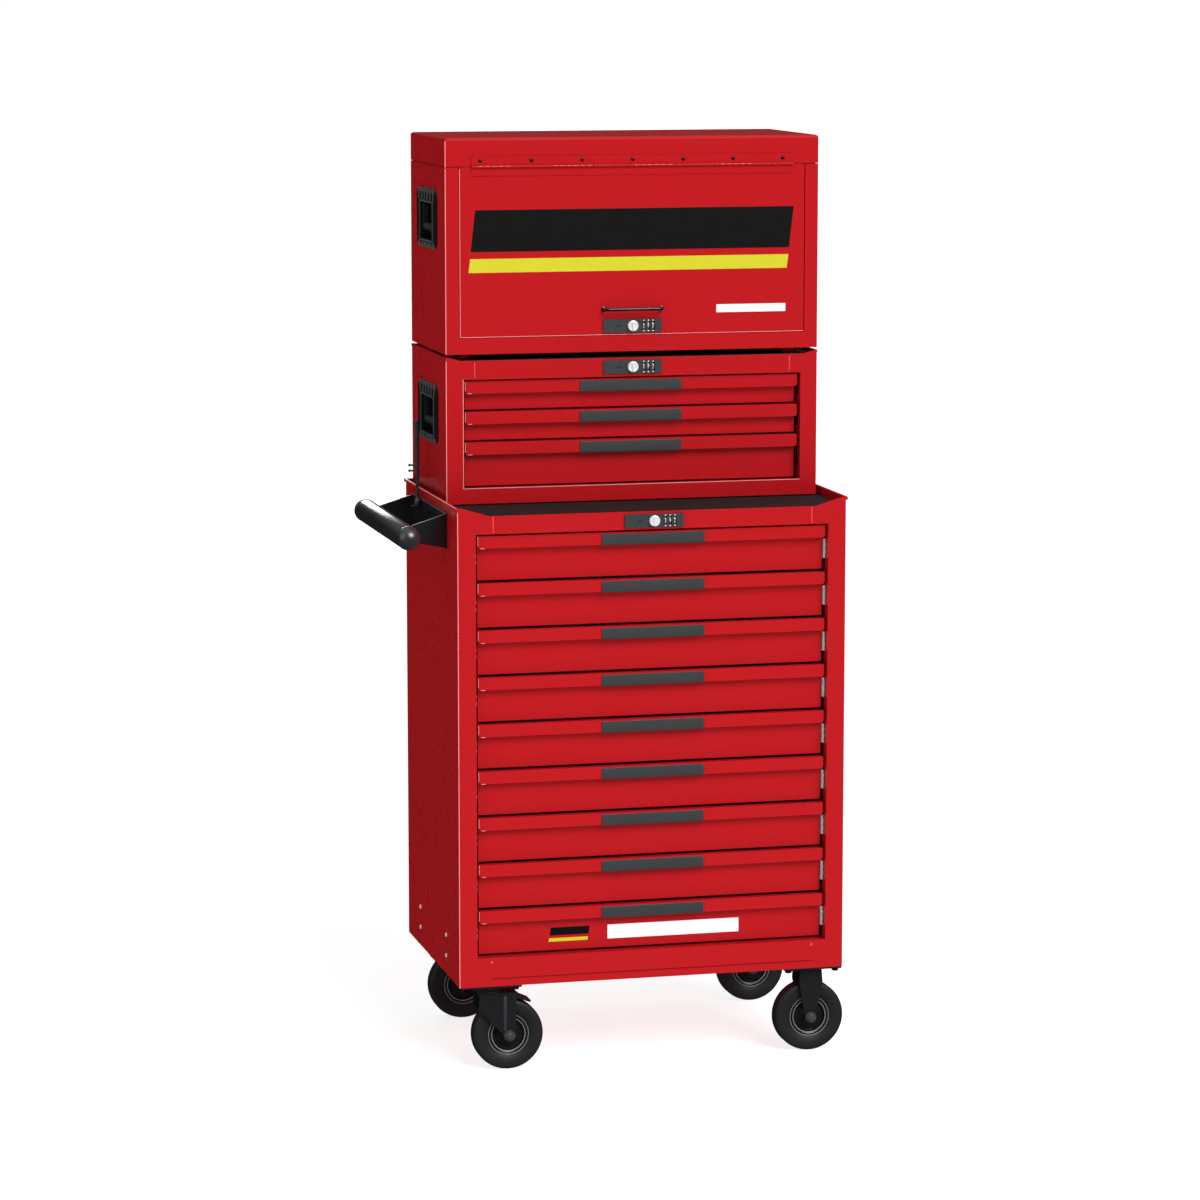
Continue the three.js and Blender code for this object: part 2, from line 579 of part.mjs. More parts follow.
function swivelPlate() {
  const top = CASTER.plateTop - 3;
  return join(
    casterPlateSheet(),
    turned([
      [0, 131.5], [10, 131.5], [10, CASTER.crown - GAP], [6, CASTER.crown - GAP], [6, 145.8], [30, 145.8],
      [30, top + 0.5], [0, top + 0.5],
    ], 'z', 16),
  );
}

function swivelFork() {
  const { crown, legOut, trail } = CASTER;
  const leg = outline([
    [-20, crown + 1], [46, crown + 1], [46, 127], [44, 110], [45, AXLE + 4], [42, AXLE - 8], [33, AXLE - 12],
    [24, AXLE - 8], [21, AXLE + 4], [-22, 111],
  ]);
  const body = join(
    block(-22, 46.5, -legOut + 0.4, legOut - 0.4, crown, crown + 3.5),
    rod(27, crown + 3, 145.5, 'z', 16),
    forkLegs(leg),
  );
  const kingpin = rod(6.5, crown - 1, 150, 'z', 14);
  const pivot = rod(PEDAL.pin + GAP, -30, 30, 'y', 12).translate([PEDAL.x, 0, PEDAL.z]);
  return cut(body, kingpin, pivot, boltHole(trail));
}

function fixedFork() {
  const top = CASTER.plateTop - 3;
  return cut(join(casterPlateSheet(), forkLegs(legOutline(0, -19.5, 19.5, top + BITE))), boltHole(0));
}

function brakePedal() {
  const p = PEDAL;
  const tread = outline([
    [p.x - 2, p.z + 3.4], [p.x + 5, p.z + 3.4], [66, 124.5], [73, 121.5], [72, 118.5], [64, 121], [p.x + 2, p.z - 1],
  ]);
  return join(
    prismY(tread, -p.half, p.half),
    rod(p.tube, -p.half - 2.5, p.half + 2.5, 'y', 12).translate([p.x, 0, p.z]),
    rod(p.pin, -26, 26, 'y', 12).translate([p.x, 0, p.z]),
  );
}

function tyre() {
  const { wheel, tyreHalf, rim } = CASTER;
  const tread = overFlats(wheel);
  return turned([
    [rim + GAP, -14], [56, -tyreHalf], [tread, -10], [tread, 10],
    [56, tyreHalf], [rim + GAP, 14], [rim + GAP, -14],
  ], 'y');
}

function rim() {
  const { hubHalf, bolt } = CASTER;
  const bore = bolt + 0.5;
  const outer = CASTER.rim;
  return turned([
    [bore, -hubHalf], [13, -hubHalf], [14, -8], [29, -6], [31, -13], [outer, -13],
    [outer, 13], [31, 13], [29, 6], [14, 8], [13, hubHalf], [bore, hubHalf], [bore, -hubHalf],
  ], 'y');
}

// The axle bolt with its hexagonal head and nut outside the fork's legs.
function axle() {
  const { bolt, legOut } = CASTER;
  const out = legOut + GAP;
  return join(
    rod(bolt, -out - 7, out + 7, 'y', CASTER.boltSides),
    rod(8.7, -out - 6, -out, 'y', 6),
    rod(8.7, out, out + 6, 'y', 6),
  );
}

function placeWheel(corner, x, parent) {
  place(`${corner}_tyre`, tyre(), RUBBER, x, 0, AXLE, parent);
  place(`${corner}_rim`, rim(), BLACK_PLASTIC, x, 0, AXLE, parent);
  place(`${corner}_axle`, axle(), ZINC, x, 0, AXLE, parent);
}

function placeCaster(corner, x, y, swivels) {
  const group = new THREE.Group();
  group.position.set(x, y, 0);
  chest.add(group);
  if (swivels) {
    place(`${corner}_caster_plate`, swivelPlate(), BLACK_STEEL, 0, 0, 0, group);
    place(`${corner}_swivel_fork`, swivelFork(), BLACK_STEEL, 0, 0, 0, group);
    place(`${corner}_brake_pedal`, brakePedal(), BLACK_STEEL, 0, 0, 0, group);
  } else {
    place(`${corner}_fixed_fork`, fixedFork(), BLACK_STEEL, 0, 0, 0, group);
  }
  placeWheel(corner, swivels ? CASTER.trail : 0, group);
}

// ---------------------------------------------------------------------------------------- assembly
place('cabinet_shell', cabinetShell(), RED);
place('cabinet_slides_left', slideCarrier(-1), ZINC);
place('cabinet_slides_right', slideCarrier(1), ZINC);
for (let i = 0; i < CABINET_DRAWERS.count; i += 1) {
  const { pitch, height, top, back, runner } = CABINET_DRAWERS;
  const solid = drawer(CABINET.openHalf, height, back, runner);
  place(`cabinet_drawer_${i + 1}`, solid, RED, 0, CABINET.front, top - pitch * i - height);
}
placeLock('cabinet', 0, CABINET.front, LOCK_HEIGHTS.cabinet);
place('push_handle_bracket', pushBracket(), BLACK_STEEL);
place('push_handle_grip', pushGrip(), BLACK_PLASTIC);
place('clip_post', clipPost(), BLACK_STEEL, POST.x, POST.y, 0);

placeCaster('front_left', CASTER.left, CASTER.front, true);
placeCaster('rear_left', CASTER.left, CASTER.rear, true);
placeCaster('front_right', CASTER.right, CASTER.front, false);
placeCaster('rear_right', CASTER.right, CASTER.rear, false);

place('middle_shell', middleShell(), RED);
MIDDLE_DRAWERS.heights.forEach((height, i) => {
  const solid = drawer(MIDDLE.openHalf, height, MIDDLE_DRAWERS.back, MIDDLE_DRAWERS.runner);
  place(`middle_drawer_${i + 1}`, solid, RED, 0, MIDDLE.front, MIDDLE_DRAWERS.tops[i] - height);
});
placeLock('middle', UPPER_FITTINGS_X, MIDDLE.front, LOCK_HEIGHTS.middle);
placeHandles('middle', MIDDLE, HANDLE_HEIGHTS.middle);

place('top_shell', topShell(), RED);
place('lid', lid(), RED);
place('flap', flap(), RED);
place('flap_pull', flapPull(), BLACK_STEEL, UPPER_FITTINGS_X, 0, PULL.z);
placeLock('flap', UPPER_FITTINGS_X, FLAP.front, LOCK_HEIGHTS.flap);
placeHandles('top', TOP, HANDLE_HEIGHTS.top);

export default chest;
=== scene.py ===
"""A red three-stage rolling tool chest: finish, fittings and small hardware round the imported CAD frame.

Lengths are metres, written as millimetres times MM. Positions come from the boxes of the CAD nodes and the
places of the joints. Every piece rides on the CAD body that carries it.
"""

import json
import math

import bmesh
import bpy
from mathutils import Matrix, Vector


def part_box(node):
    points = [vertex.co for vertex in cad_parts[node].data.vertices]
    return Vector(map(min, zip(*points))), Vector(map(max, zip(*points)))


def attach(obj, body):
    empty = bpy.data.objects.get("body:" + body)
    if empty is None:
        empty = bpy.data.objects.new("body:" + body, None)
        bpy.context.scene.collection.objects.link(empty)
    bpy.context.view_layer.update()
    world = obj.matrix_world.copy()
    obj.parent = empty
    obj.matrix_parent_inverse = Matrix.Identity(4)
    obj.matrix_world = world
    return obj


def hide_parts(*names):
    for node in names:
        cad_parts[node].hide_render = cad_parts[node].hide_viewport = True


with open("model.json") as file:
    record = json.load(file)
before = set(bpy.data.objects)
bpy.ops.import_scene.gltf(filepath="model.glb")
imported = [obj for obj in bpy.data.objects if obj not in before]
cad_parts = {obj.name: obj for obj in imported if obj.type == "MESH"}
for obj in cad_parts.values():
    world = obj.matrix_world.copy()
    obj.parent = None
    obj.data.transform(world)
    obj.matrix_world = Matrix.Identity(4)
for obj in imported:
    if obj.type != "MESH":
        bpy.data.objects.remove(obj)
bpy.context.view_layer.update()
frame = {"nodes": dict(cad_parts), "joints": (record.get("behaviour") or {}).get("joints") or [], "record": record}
MM = 0.001

CORNERS = [f"{end}_{side}" for side in ("left", "right") for end in ("front", "rear")]
SWIVEL_CORNERS = CORNERS[:2]
BOXES = ("middle", "top")
LOCKS = ("cabinet", "middle", "flap")
CABINET_DRAWERS = [f"cabinet_drawer_{i}" for i in range(1, 10)]
MIDDLE_DRAWERS = [f"middle_drawer_{i}" for i in range(1, 4)]
DRAWERS = CABINET_DRAWERS + MIDDLE_DRAWERS


# ---------------------------------------------------------------------- materials
def linear(red, green, blue):
    """A screen colour from 0 to 255 as the linear colour that shaders use."""
    steps = [c / 255 for c in (red, green, blue)]
    return tuple(c / 12.92 if c <= 0.04045 else ((c + 0.055) / 1.055) ** 2.4 for c in steps) + (1.0,)


class Finish:
    """A Principled material whose roughness, tint and relief come from noise in object space."""

    def __init__(self, name, colour, metallic=0.0, specular=0.5, tint=(1.0, 1.0, 1.0, 1.0)):
        self.material = bpy.data.materials.new(name)
        self.material.use_nodes = True
        self.tree = self.material.node_tree
        self.shader = self.tree.nodes["Principled BSDF"]
        self.colour = linear(*colour)
        self.set("Base Color", self.colour)
        self.set("Metallic", metallic)
        self.set("Specular IOR Level", specular)
        self.set("Specular Tint", tint)
        self.place = self.tree.nodes.new("ShaderNodeTexCoord").outputs["Object"]

    def set(self, socket, value):
        self.shader.inputs[socket].default_value = value

    def link(self, start, end):
        self.tree.links.new(start, end)

    def noise(self, scale, detail=3.0):
        node = self.tree.nodes.new("ShaderNodeTexNoise")
        node.inputs["Scale"].default_value = scale
        node.inputs["Detail"].default_value = detail
        self.link(self.place, node.inputs["Vector"])
        return node.outputs["Fac"]

    def band(self, source, low, high):
        node = self.tree.nodes.new("ShaderNodeMapRange")
        node.inputs["To Min"].default_value = low
        node.inputs["To Max"].default_value = high
        self.link(source, node.inputs["Value"])
        return node.outputs["Result"]

    def roughness(self, low, high, scale=40.0):
        self.link(self.band(self.noise(scale), low, high), self.shader.inputs["Roughness"])
        return self

    def mottle(self, other, scale=8.0, amount=0.25):
        """The base colour drifts a little towards another colour."""
        mix = self.tree.nodes.new("ShaderNodeMix")
        mix.data_type = "RGBA"
        mix.inputs["A"].default_value = self.colour
        mix.inputs["B"].default_value = linear(*other)
        self.link(self.band(self.noise(scale, 2.0), 0.0, amount), mix.inputs["Factor"])
        self.link(mix.outputs["Result"], self.shader.inputs["Base Color"])
        return self

    def relief(self, height, strength, depth=0.001):
        bump = self.tree.nodes.new("ShaderNodeBump")
        bump.inputs["Strength"].default_value = strength
        bump.inputs["Distance"].default_value = depth
        self.link(height, bump.inputs["Height"])
        self.link(bump.outputs["Normal"], self.shader.inputs["Normal"])
        return self

    def grain(self, scale, strength, depth=0.0005):
        return self.relief(self.noise(scale, 2.0), strength, depth)

    def ribs(self, direction, scale, strength, depth=0.001):
        wave = self.tree.nodes.new("ShaderNodeTexWave")
        wave.bands_direction = direction
        wave.inputs["Scale"].default_value = scale
        self.link(self.place, wave.inputs["Vector"])
        return self.relief(wave.outputs["Fac"], strength, depth)


def enamel(name, colour, other):
    finish = Finish(name, colour, specular=0.26, tint=(1.0, 0.4, 0.4, 1.0))
    return finish.roughness(0.24, 0.32, 8).mottle(other, 5.0, 0.3).material


def plastic(name, colour, other, low=0.42, high=0.58):
    finish = Finish(name, colour).roughness(low, high, 60).mottle(other, 20.0, 0.4)
    return finish.grain(1500, 0.12, 0.0003).material


def metal(name, colour, metallic=1.0, low=0.22, high=0.38):
    return Finish(name, colour, metallic).roughness(low, high, 120).grain(900, 0.05).material


def plain(name, colour, low, high, scale=60, **shader):
    """A finish with nothing but an uneven gloss."""
    return Finish(name, colour, **shader).roughness(low, high, scale).material


def matting(name, colour, **shader):
    return Finish(name, colour, **shader).roughness(0.62, 0.8, 30).ribs("Y", 260, 0.5).material


RED = enamel("red_enamel", (173, 21, 27), (170, 20, 26))
# Painted highlight: a lighter red for the bevelled edges of red parts, the header seams and the small red rivets.
RED_SOFT_HIGHLIGHT = enamel("red_enamel_soft_highlight", (226, 66, 72), (220, 58, 66))
# Painted highlight: a pale pink for thin strips along folded edges, the rim, rail ends and hinge knuckles.
RED_BRIGHT_HIGHLIGHT = enamel("red_enamel_bright_highlight", (244, 150, 150), (236, 138, 140))
RED_SHADE = enamel("red_enamel_shade", (118, 12, 17), (108, 10, 15))
BLACK_STEEL = Finish("black_powder_coat", (21, 22, 24)).roughness(0.26, 0.38, 50)
BLACK_STEEL = BLACK_STEEL.mottle((30, 31, 33)).grain(1200, 0.08).material
BLACK_PLASTIC = plastic("black_plastic", (26, 27, 29), (36, 37, 40))
DARK_PLASTIC = plastic("dark_grey_plastic", (44, 47, 48), (52, 55, 57))
GRIP_PLASTIC = Finish("grip_plastic", (36, 37, 39), specular=1.0).roughness(0.26, 0.36, 40)
GRIP_PLASTIC = GRIP_PLASTIC.grain(1500, 0.06, 0.0003).material
POST_STEEL = plain("post_steel", (70, 71, 74), 0.28, 0.4, metallic=0.6)
BLACK_GLOSS = plain("black_gloss", (14, 14, 15), 0.16, 0.26)
# Painted highlight: a light grey for the upper edges of the push bracket and the beads on the wheel centres.
STEEL_HIGHLIGHT = plain("black_steel_painted_highlight", (112, 114, 118), 0.4, 0.5)
RUBBER = Finish("tyre_rubber", (24, 24, 26), specular=0.25).roughness(0.42, 0.58, 35)
RUBBER = RUBBER.mottle((34, 34, 36), 12, 0.5).grain(500, 0.06).material
RIM_PLASTIC = plastic("wheel_centre_plastic", (20, 21, 22), (30, 31, 33), 0.18, 0.28)
ZINC = metal("zinc_plate", (196, 200, 204))
SATIN = metal("satin_nickel", (236, 237, 239), 0.35, 0.34, 0.44)
DARK_BOLT = metal("blackened_bolt", (52, 53, 56), 1.0, 0.35, 0.5)
# Painted highlight: a mid grey for the ribs, lobes and rim of the black handle plates.
HANDLE_RIB_HIGHLIGHT = plain("handle_rib_painted_highlight", (78, 82, 81), 0.3, 0.42)
SLIDE_ZINC = plain("slide_zinc", (206, 208, 206), 0.35, 0.45, 90, metallic=0.25)
NUT_STEEL = plain("nut_steel", (78, 79, 81), 0.3, 0.4, 90, metallic=0.5)
WHITE = plastic("white_marking", (236, 236, 234), (226, 226, 224))
YELLOW = plastic("yellow_marking", (198, 193, 8), (190, 184, 8))
BLACK_FILM = plain("black_marking", (6, 6, 7), 0.4, 0.5, 40, specular=0.25)
MAT = matting("ribbed_rubber_mat", (9, 8, 8), specular=0.3)
# Painted light: the mat in the narrow gap under the top box is pale grey so that the shaded gap reads lit.
PAINTED_LIGHT_MAT = matting("grey_mat_painted_light", (112, 118, 122))

SLOT_MATERIALS = {
    "red_paint": RED,
    "black_steel": BLACK_STEEL,
    "black_plastic": BLACK_PLASTIC,
    "dark_plastic": DARK_PLASTIC,
    "rim_plastic": RIM_PLASTIC,
    "tyre_rubber": RUBBER,
    "zinc": ZINC,
    "satin_metal": SATIN,
}
SLOT_OF_MATERIAL = {material.name: name for name, material in SLOT_MATERIALS.items()}
SLOT_OF_MATERIAL.update({
    "red_enamel_soft_highlight": "red_paint",
    "red_enamel_bright_highlight": "red_paint",
    "red_enamel_shade": "red_paint",
    "black_marking": "black_plastic",
    "ribbed_rubber_mat": "black_plastic",
    "grey_mat_painted_light": "black_plastic",
    "grip_plastic": "black_plastic",
    "white_marking": "dark_plastic",
    "yellow_marking": "dark_plastic",
    "post_steel": "black_steel",
    "black_gloss": "black_steel",
    "black_steel_painted_highlight": "black_steel",
    "handle_rib_painted_highlight": "black_steel",
    "blackened_bolt": "zinc",
    "slide_zinc": "zinc",
    "nut_steel": "zinc",
})


# ---------------------------------------------------------------------- mesh tools
def finish_mesh(name, mesh, material, body, angle=35):
    """Puts a mesh in the scene with its material, soft shading across gentle angles, riding on a body."""
    for polygon in mesh.polygons:
        polygon.use_smooth = True
    piece = bpy.data.objects.new(name, mesh)
    bpy.context.scene.collection.objects.link(piece)
    mesh.set_sharp_from_angle(angle=math.radians(angle))
    mesh.materials.append(material)
    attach(piece, body)
    return piece


def from_bmesh(name, bm, material, body, angle=35):
    bmesh.ops.recalc_face_normals(bm, faces=bm.faces)
    mesh = bpy.data.meshes.new(name)
    bm.to_mesh(mesh)
    bm.free()
    return finish_mesh(name, mesh, material, body, angle)


def sorted_corners(first, second):
    """The low and high corners of the box between any two opposite corners."""
    pairs = list(zip(first, second))
    return Vector([min(pair) for pair in pairs]), Vector([max(pair) for pair in pairs])


def add_slab(bm, first, second, bevel=0.0, segments=2):
    """A box between any two opposite corners, with rounded edges."""
    low, high = sorted_corners(first, second)
    size = high - low
    place = Matrix.Translation((low + high) / 2) @ Matrix.Diagonal((*size, 1.0))
    made = bmesh.ops.create_cube(bm, size=1.0, matrix=place)["verts"]
    if bevel:
        edges = {edge for vert in made for edge in vert.link_edges}
        bmesh.ops.bevel(bm, geom=list(edges), offset=bevel, segments=segments, profile=0.5, affect="EDGES")


def axis_turn(axis):
    """The rotation that takes +Z to a row axis, named such as "y" or "-y"."""
    ways = {
        "z": Matrix.Identity(4), "-z": Matrix.Rotation(math.pi, 4, "X"),
        "x": Matrix.Rotation(math.pi / 2, 4, "Y"), "-x": Matrix.Rotation(-math.pi / 2, 4, "Y"),
        "y": Matrix.Rotation(-math.pi / 2, 4, "X"), "-y": Matrix.Rotation(math.pi / 2, 4, "X"),
    }
    return ways[axis]


def add_turned(bm, profile, centre, axis="z", sides=32):
    """A profile of (radius, height) turned round an axis.

    A profile that starts off the axis is closed into a ring.
    """
    place = Matrix.Translation(Vector(centre)) @ axis_turn(axis)
    closed = profile[0][0] > 0
    angles = [2 * math.pi * k / sides for k in range(sides)]
    rings = []
    for radius, height in profile:
        spots = [(radius * math.cos(a), radius * math.sin(a), height) for a in angles]
        if radius <= 0:
            spots = [(0, 0, height)]
        rings.append([bm.verts.new(place @ Vector(spot)) for spot in spots])
    pairs = list(zip(rings, rings[1:])) + ([(rings[-1], rings[0])] if closed else [])
    for first, second in pairs:
        for k in range(sides):
            corners = [first[k % len(first)], first[(k + 1) % len(first)]]
            corners += [second[(k + 1) % len(second)], second[k % len(second)]]
            unique = list(dict.fromkeys(corners))
            bm.faces.new(unique)


def add_prism(bm, outline, start, end, axis):
    """An outline extruded along an axis; its points leave that axis out, so for "y" they are (x, z)."""
    def point(a, b, along):
        return {"x": (along, a, b), "y": (a, along, b), "z": (a, b, along)}[axis]

    near = [bm.verts.new(point(a, b, start)) for a, b in outline]
    far = [bm.verts.new(point(a, b, end)) for a, b in outline]
    bm.faces.new(near)
    bm.faces.new(list(reversed(far)))
    for k in range(len(outline)):
        nxt = (k + 1) % len(outline)
        bm.faces.new([near[k], near[nxt], far[nxt], far[k]])


def rounded(half_width, low, high, radius, steps=5):
    """The corners of an upright rounded rectangle as (across, up) points, anticlockwise."""
    right, left = half_width - radius, -half_width + radius
    top, bottom = high - radius, low + radius
    centres = [(right, top, 0), (left, top, 1), (left, bottom, 2), (right, bottom, 3)]
    points = []
    for across, up, quarter in centres:
        for k in range(steps + 1):
            angle = math.pi / 2 * (quarter + k / steps)
            points.append((across + radius * math.cos(angle), up + radius * math.sin(angle)))
    return points


def dome(radius, height, steps=4):
    """The profile of a rivet's head, from its foot to its crown."""
    angles = [math.pi / 2 * k / steps for k in range(steps)]
    foot = [(0, -0.3 * MM), (radius, -0.3 * MM)]
    return foot + [(radius * math.cos(a), height * math.sin(a)) for a in angles] + [(0, height)]


def disc(radius, foot, top):
    """The profile of a plain disc."""
    return [(0, foot), (radius, foot), (radius, top), (0, top)]


def hex_head(bm, centre, axis, across, height, washer=0.0):
    """A hexagonal bolt head, with its washer."""
    corner = across / math.sqrt(3)
    profile = [(0, 0), (corner, 0), (corner, height * 0.85), (corner * 0.86, height), (0, height)]
    add_turned(bm, profile, centre, axis, 6)
    if washer:
        add_turned(bm, disc(washer, -0.4 * MM, 0.6 * MM), centre, axis, 24)


# ---------------------------------------------------------------------- CAD nodes
def finish_node(name, width, segments=2, edge=None, skin=None):
    """Gives a carried-over CAD node its finish and softens its edges; an edge material, when given, paints the
    bevelled faces as a highlight.
    """
    node = frame["nodes"][name]
    node.data.materials.clear()
    node.data.materials.append(skin or SLOT_MATERIALS[NODE_SLOTS[name]])
    for polygon in node.data.polygons:
        polygon.material_index = 0
    if width:
        bevel = node.modifiers.new("rounded_edges", "BEVEL")
        bevel.width = width
        bevel.segments = segments
        bevel.limit_method = "ANGLE"
        bevel.angle_limit = math.radians(50)
        bevel.harden_normals = True
        if edge:
            node.data.materials.append(edge)
            bevel.material = 1


NODE_SLOTS = {part["node"]: part["material_slot"] for part in frame["record"]["subparts"]}


def finish_all_nodes():
    for name in NODE_SLOTS:
        slot = NODE_SLOTS[name]
        if slot == "red_paint":
            # The bevelled faces of red parts are coloured in the painted highlight red.
            finish_node(name, 0.5 * MM, 2, RED_SOFT_HIGHLIGHT)
        elif name.endswith(("tyre", "rim", "axle", "dials")):
            finish_node(name, 0)
        elif name == "clip_post":
            finish_node(name, 0, skin=POST_STEEL)
        else:
            finish_node(name, 0.35 * MM, 2)


# ---------------------------------------------------------------------- camera, stage
CAMERA_AT = Vector((-1.76355, -7.13875, 1.8884))
CAMERA_DOWN = math.radians(8.467)
CAMERA_TURN = math.radians(13.9)
CAMERA_LENS = 125.39
DOME = 0.62
DOME_START = 0.12
KEY = 2.9
SIDE_FILL = 0.5
GRIP_EDGE = 5
FLOOR_GLOW = 0.8


def camera():
    data = bpy.data.cameras.new("camera")
    data.lens = CAMERA_LENS
    data.sensor_width = 36.0
    data.clip_end = 100.0
    eye = bpy.data.objects.new("camera", data)
    eye.location = CAMERA_AT
    eye.rotation_euler = (math.pi / 2 - CAMERA_DOWN, 0.0, -CAMERA_TURN)
    bpy.context.scene.collection.objects.link(eye)
    bpy.context.scene.camera = eye


def floor():
    bm = bmesh.new()
    bmesh.ops.create_grid(bm, x_segments=1, y_segments=1, size=60.0)
    mesh = bpy.data.meshes.new("floor")
    bm.to_mesh(mesh)
    bm.free()
    ground = bpy.data.objects.new("floor", mesh)
    bpy.context.scene.collection.objects.link(ground)
    pale = Finish("pale_floor", (170, 170, 170), specular=0.0).roughness(0.75, 0.85, 3)
    pale.set("Emission Color", (1.0, 1.0, 1.0, 1.0))
    pale.set("Emission Strength", FLOOR_GLOW)
    mesh.materials.append(pale.material)
    ground.visible_glossy = False


def lamp(name, position, target, size, power):
    data = bpy.data.lights.new(name, "AREA")
    data.shape = "RECTANGLE"
    data.size, data.size_y = size
    data.energy = power
    light = bpy.data.objects.new(name, data)
    light.location = position
    light.rotation_euler = (Vector(target) - Vector(position)).to_track_quat("-Z", "Y").to_euler()
    light.visible_camera = False
    bpy.context.scene.collection.objects.link(light)


def sun(name, direction, spread, strength):
    data = bpy.data.lights.new(name, "SUN")
    data.energy = strength
    data.angle = math.radians(spread)
    light = bpy.data.objects.new(name, data)
    light.rotation_euler = Vector(direction).to_track_quat("-Z", "Y").to_euler()
    bpy.context.scene.collection.objects.link(light)


def studio():
    """A white surround for the camera, a dome bright overhead and dark at the horizon, and soft suns."""
    world = bpy.data.worlds.new("studio")
    world.use_nodes = True
    tree = world.node_tree
    surround = tree.nodes["Background"]
    surround.inputs["Color"].default_value = (1.0, 1.0, 1.0, 1.0)
    direction = tree.nodes.new("ShaderNodeSeparateXYZ")
    tree.links.new(tree.nodes.new("ShaderNodeTexCoord").outputs["Generated"], direction.inputs["Vector"])
    dome = tree.nodes.new("ShaderNodeMapRange")
    dome.inputs["From Min"].default_value = DOME_START
    dome.inputs["To Max"].default_value = DOME
    tree.links.new(direction.outputs["Z"], dome.inputs["Value"])
    level = tree.nodes.new("ShaderNodeMapRange")
    level.inputs["To Max"].default_value = 1.0
    tree.links.new(dome.outputs["Result"], level.inputs["To Min"])
    tree.links.new(tree.nodes.new("ShaderNodeLightPath").outputs["Is Camera Ray"], level.inputs["Value"])
    tree.links.new(level.outputs["Result"], surround.inputs["Strength"])
    bpy.context.scene.world = world
    sun("key", (-0.35, 0.85, -0.75), 35, KEY)
    sun("side_fill", (0.9, 0.25, -0.3), 50, SIDE_FILL)
    lamp("grip_edge_light", (-0.1, 2.4, 1.25), (-0.38, 0.0, 0.94), (0.35, 0.3), GRIP_EDGE)
    bpy.context.scene.view_settings.view_transform = "Standard"


# ---------------------------------------------------------------------- driving places
SHELL_LOW, SHELL_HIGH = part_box("cabinet_shell")
CENTRE_X = (SHELL_LOW.x + SHELL_HIGH.x) / 2
RIM_OUT = 3.5 * MM  # how far the cabinet's rolled rim stands out of its side
SIDE_LEFT = SHELL_LOW.x + RIM_OUT
SIDE_RIGHT = SHELL_HIGH.x - RIM_OUT
FRONT = SHELL_LOW.y
TRAY_TOP = SHELL_HIGH.z
RAIL_HEIGHT = 21.5 * MM
MIDDLE_LOW, MIDDLE_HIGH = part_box("middle_shell")
TOP_LOW, TOP_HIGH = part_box("top_shell")
LID_LOW, LID_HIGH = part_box("lid")
UPPER_LEFT, UPPER_RIGHT = TOP_LOW.x, TOP_HIGH.x
UPPER_FRONT = MIDDLE_LOW.y
FLAP_LOW, FLAP_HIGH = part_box("flap")
FLAP_FRONT = FLAP_HIGH.y - 12 * MM
CABINET_OPENING_HALF = 314.5 * MM
MIDDLE_OPENING_HALF = 304.5 * MM
MIDDLE_OPENING_HEIGHTS = (1009 * MM, 1199 * MM)
MIDDLE_CORNER_TOP = 1231 * MM
TOP_CORNER_FOOT = 1244 * MM
HINGES = {joint["name"]: joint for joint in frame["joints"]}


# ---------------------------------------------------------------------- mats
def mat(name, material, left, right, front, back, floor_z, thick, bevel):
    """A mat that lies just over a tray's floor, a few millimetres in from its walls."""
    bm = bmesh.new()
    near = (left, front + 3 * MM, floor_z + 0.1 * MM)
    far = (right, back - 4 * MM, floor_z + thick)
    add_slab(bm, near, far, bevel)
    from_bmesh(name, bm, material, "chest")


def tray_mats():
    """Ribbed rubber mats: in the cabinet's tray, and in the tray of the middle box under the top box, whose pale
    grey paints in the light seen in the narrow gap there.
    """
    mat("cabinet_tray_mat", MAT, SIDE_LEFT + 5 * MM, SIDE_RIGHT - 5 * MM, FRONT, SHELL_HIGH.y,
        TRAY_TOP - 16 * MM, 2.3 * MM, 0.8 * MM)
    mat("middle_tray_mat", PAINTED_LIGHT_MAT, UPPER_LEFT + 4 * MM, UPPER_RIGHT - 4 * MM, UPPER_FRONT, MIDDLE_HIGH.y,
        MIDDLE_HIGH.z - 9.5 * MM, 1.9 * MM, 0.6 * MM)


# ---------------------------------------------------------------------- drawers
GRIP_LENGTH = 183 * MM
MIDDLE_GRIP_SHIFT = 3.5 * MM


def drawer_grip(name):
    """The dark plastic strip on a drawer's rail, with a lip that turns in under the rail."""
    low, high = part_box(name)
    face = low.y
    under = high.z - RAIL_HEIGHT
    top = high.z - 2.8 * MM
    outline = [
        (face + 0.2 * MM, top), (face - 1.0 * MM, top), (face - 1.6 * MM, top - 0.7 * MM),
        (face - 1.8 * MM, top - 4 * MM), (face - 2.0 * MM, under + 3 * MM),
        (face - 1.8 * MM, under - 0.2 * MM), (face - 1.0 * MM, under - 1.1 * MM),
        (face + 9 * MM, under - 1.1 * MM), (face + 9 * MM, under - 0.1 * MM),
        (face + 0.2 * MM, under - 0.1 * MM),
    ]
    bm = bmesh.new()
    x = (low.x + high.x) / 2 - (MIDDLE_GRIP_SHIFT if name in MIDDLE_DRAWERS else 0)
    add_prism(bm, outline, x - GRIP_LENGTH / 2, x + GRIP_LENGTH / 2, "x")
    from_bmesh(f"{name}_grip", bm, DARK_PLASTIC, name)


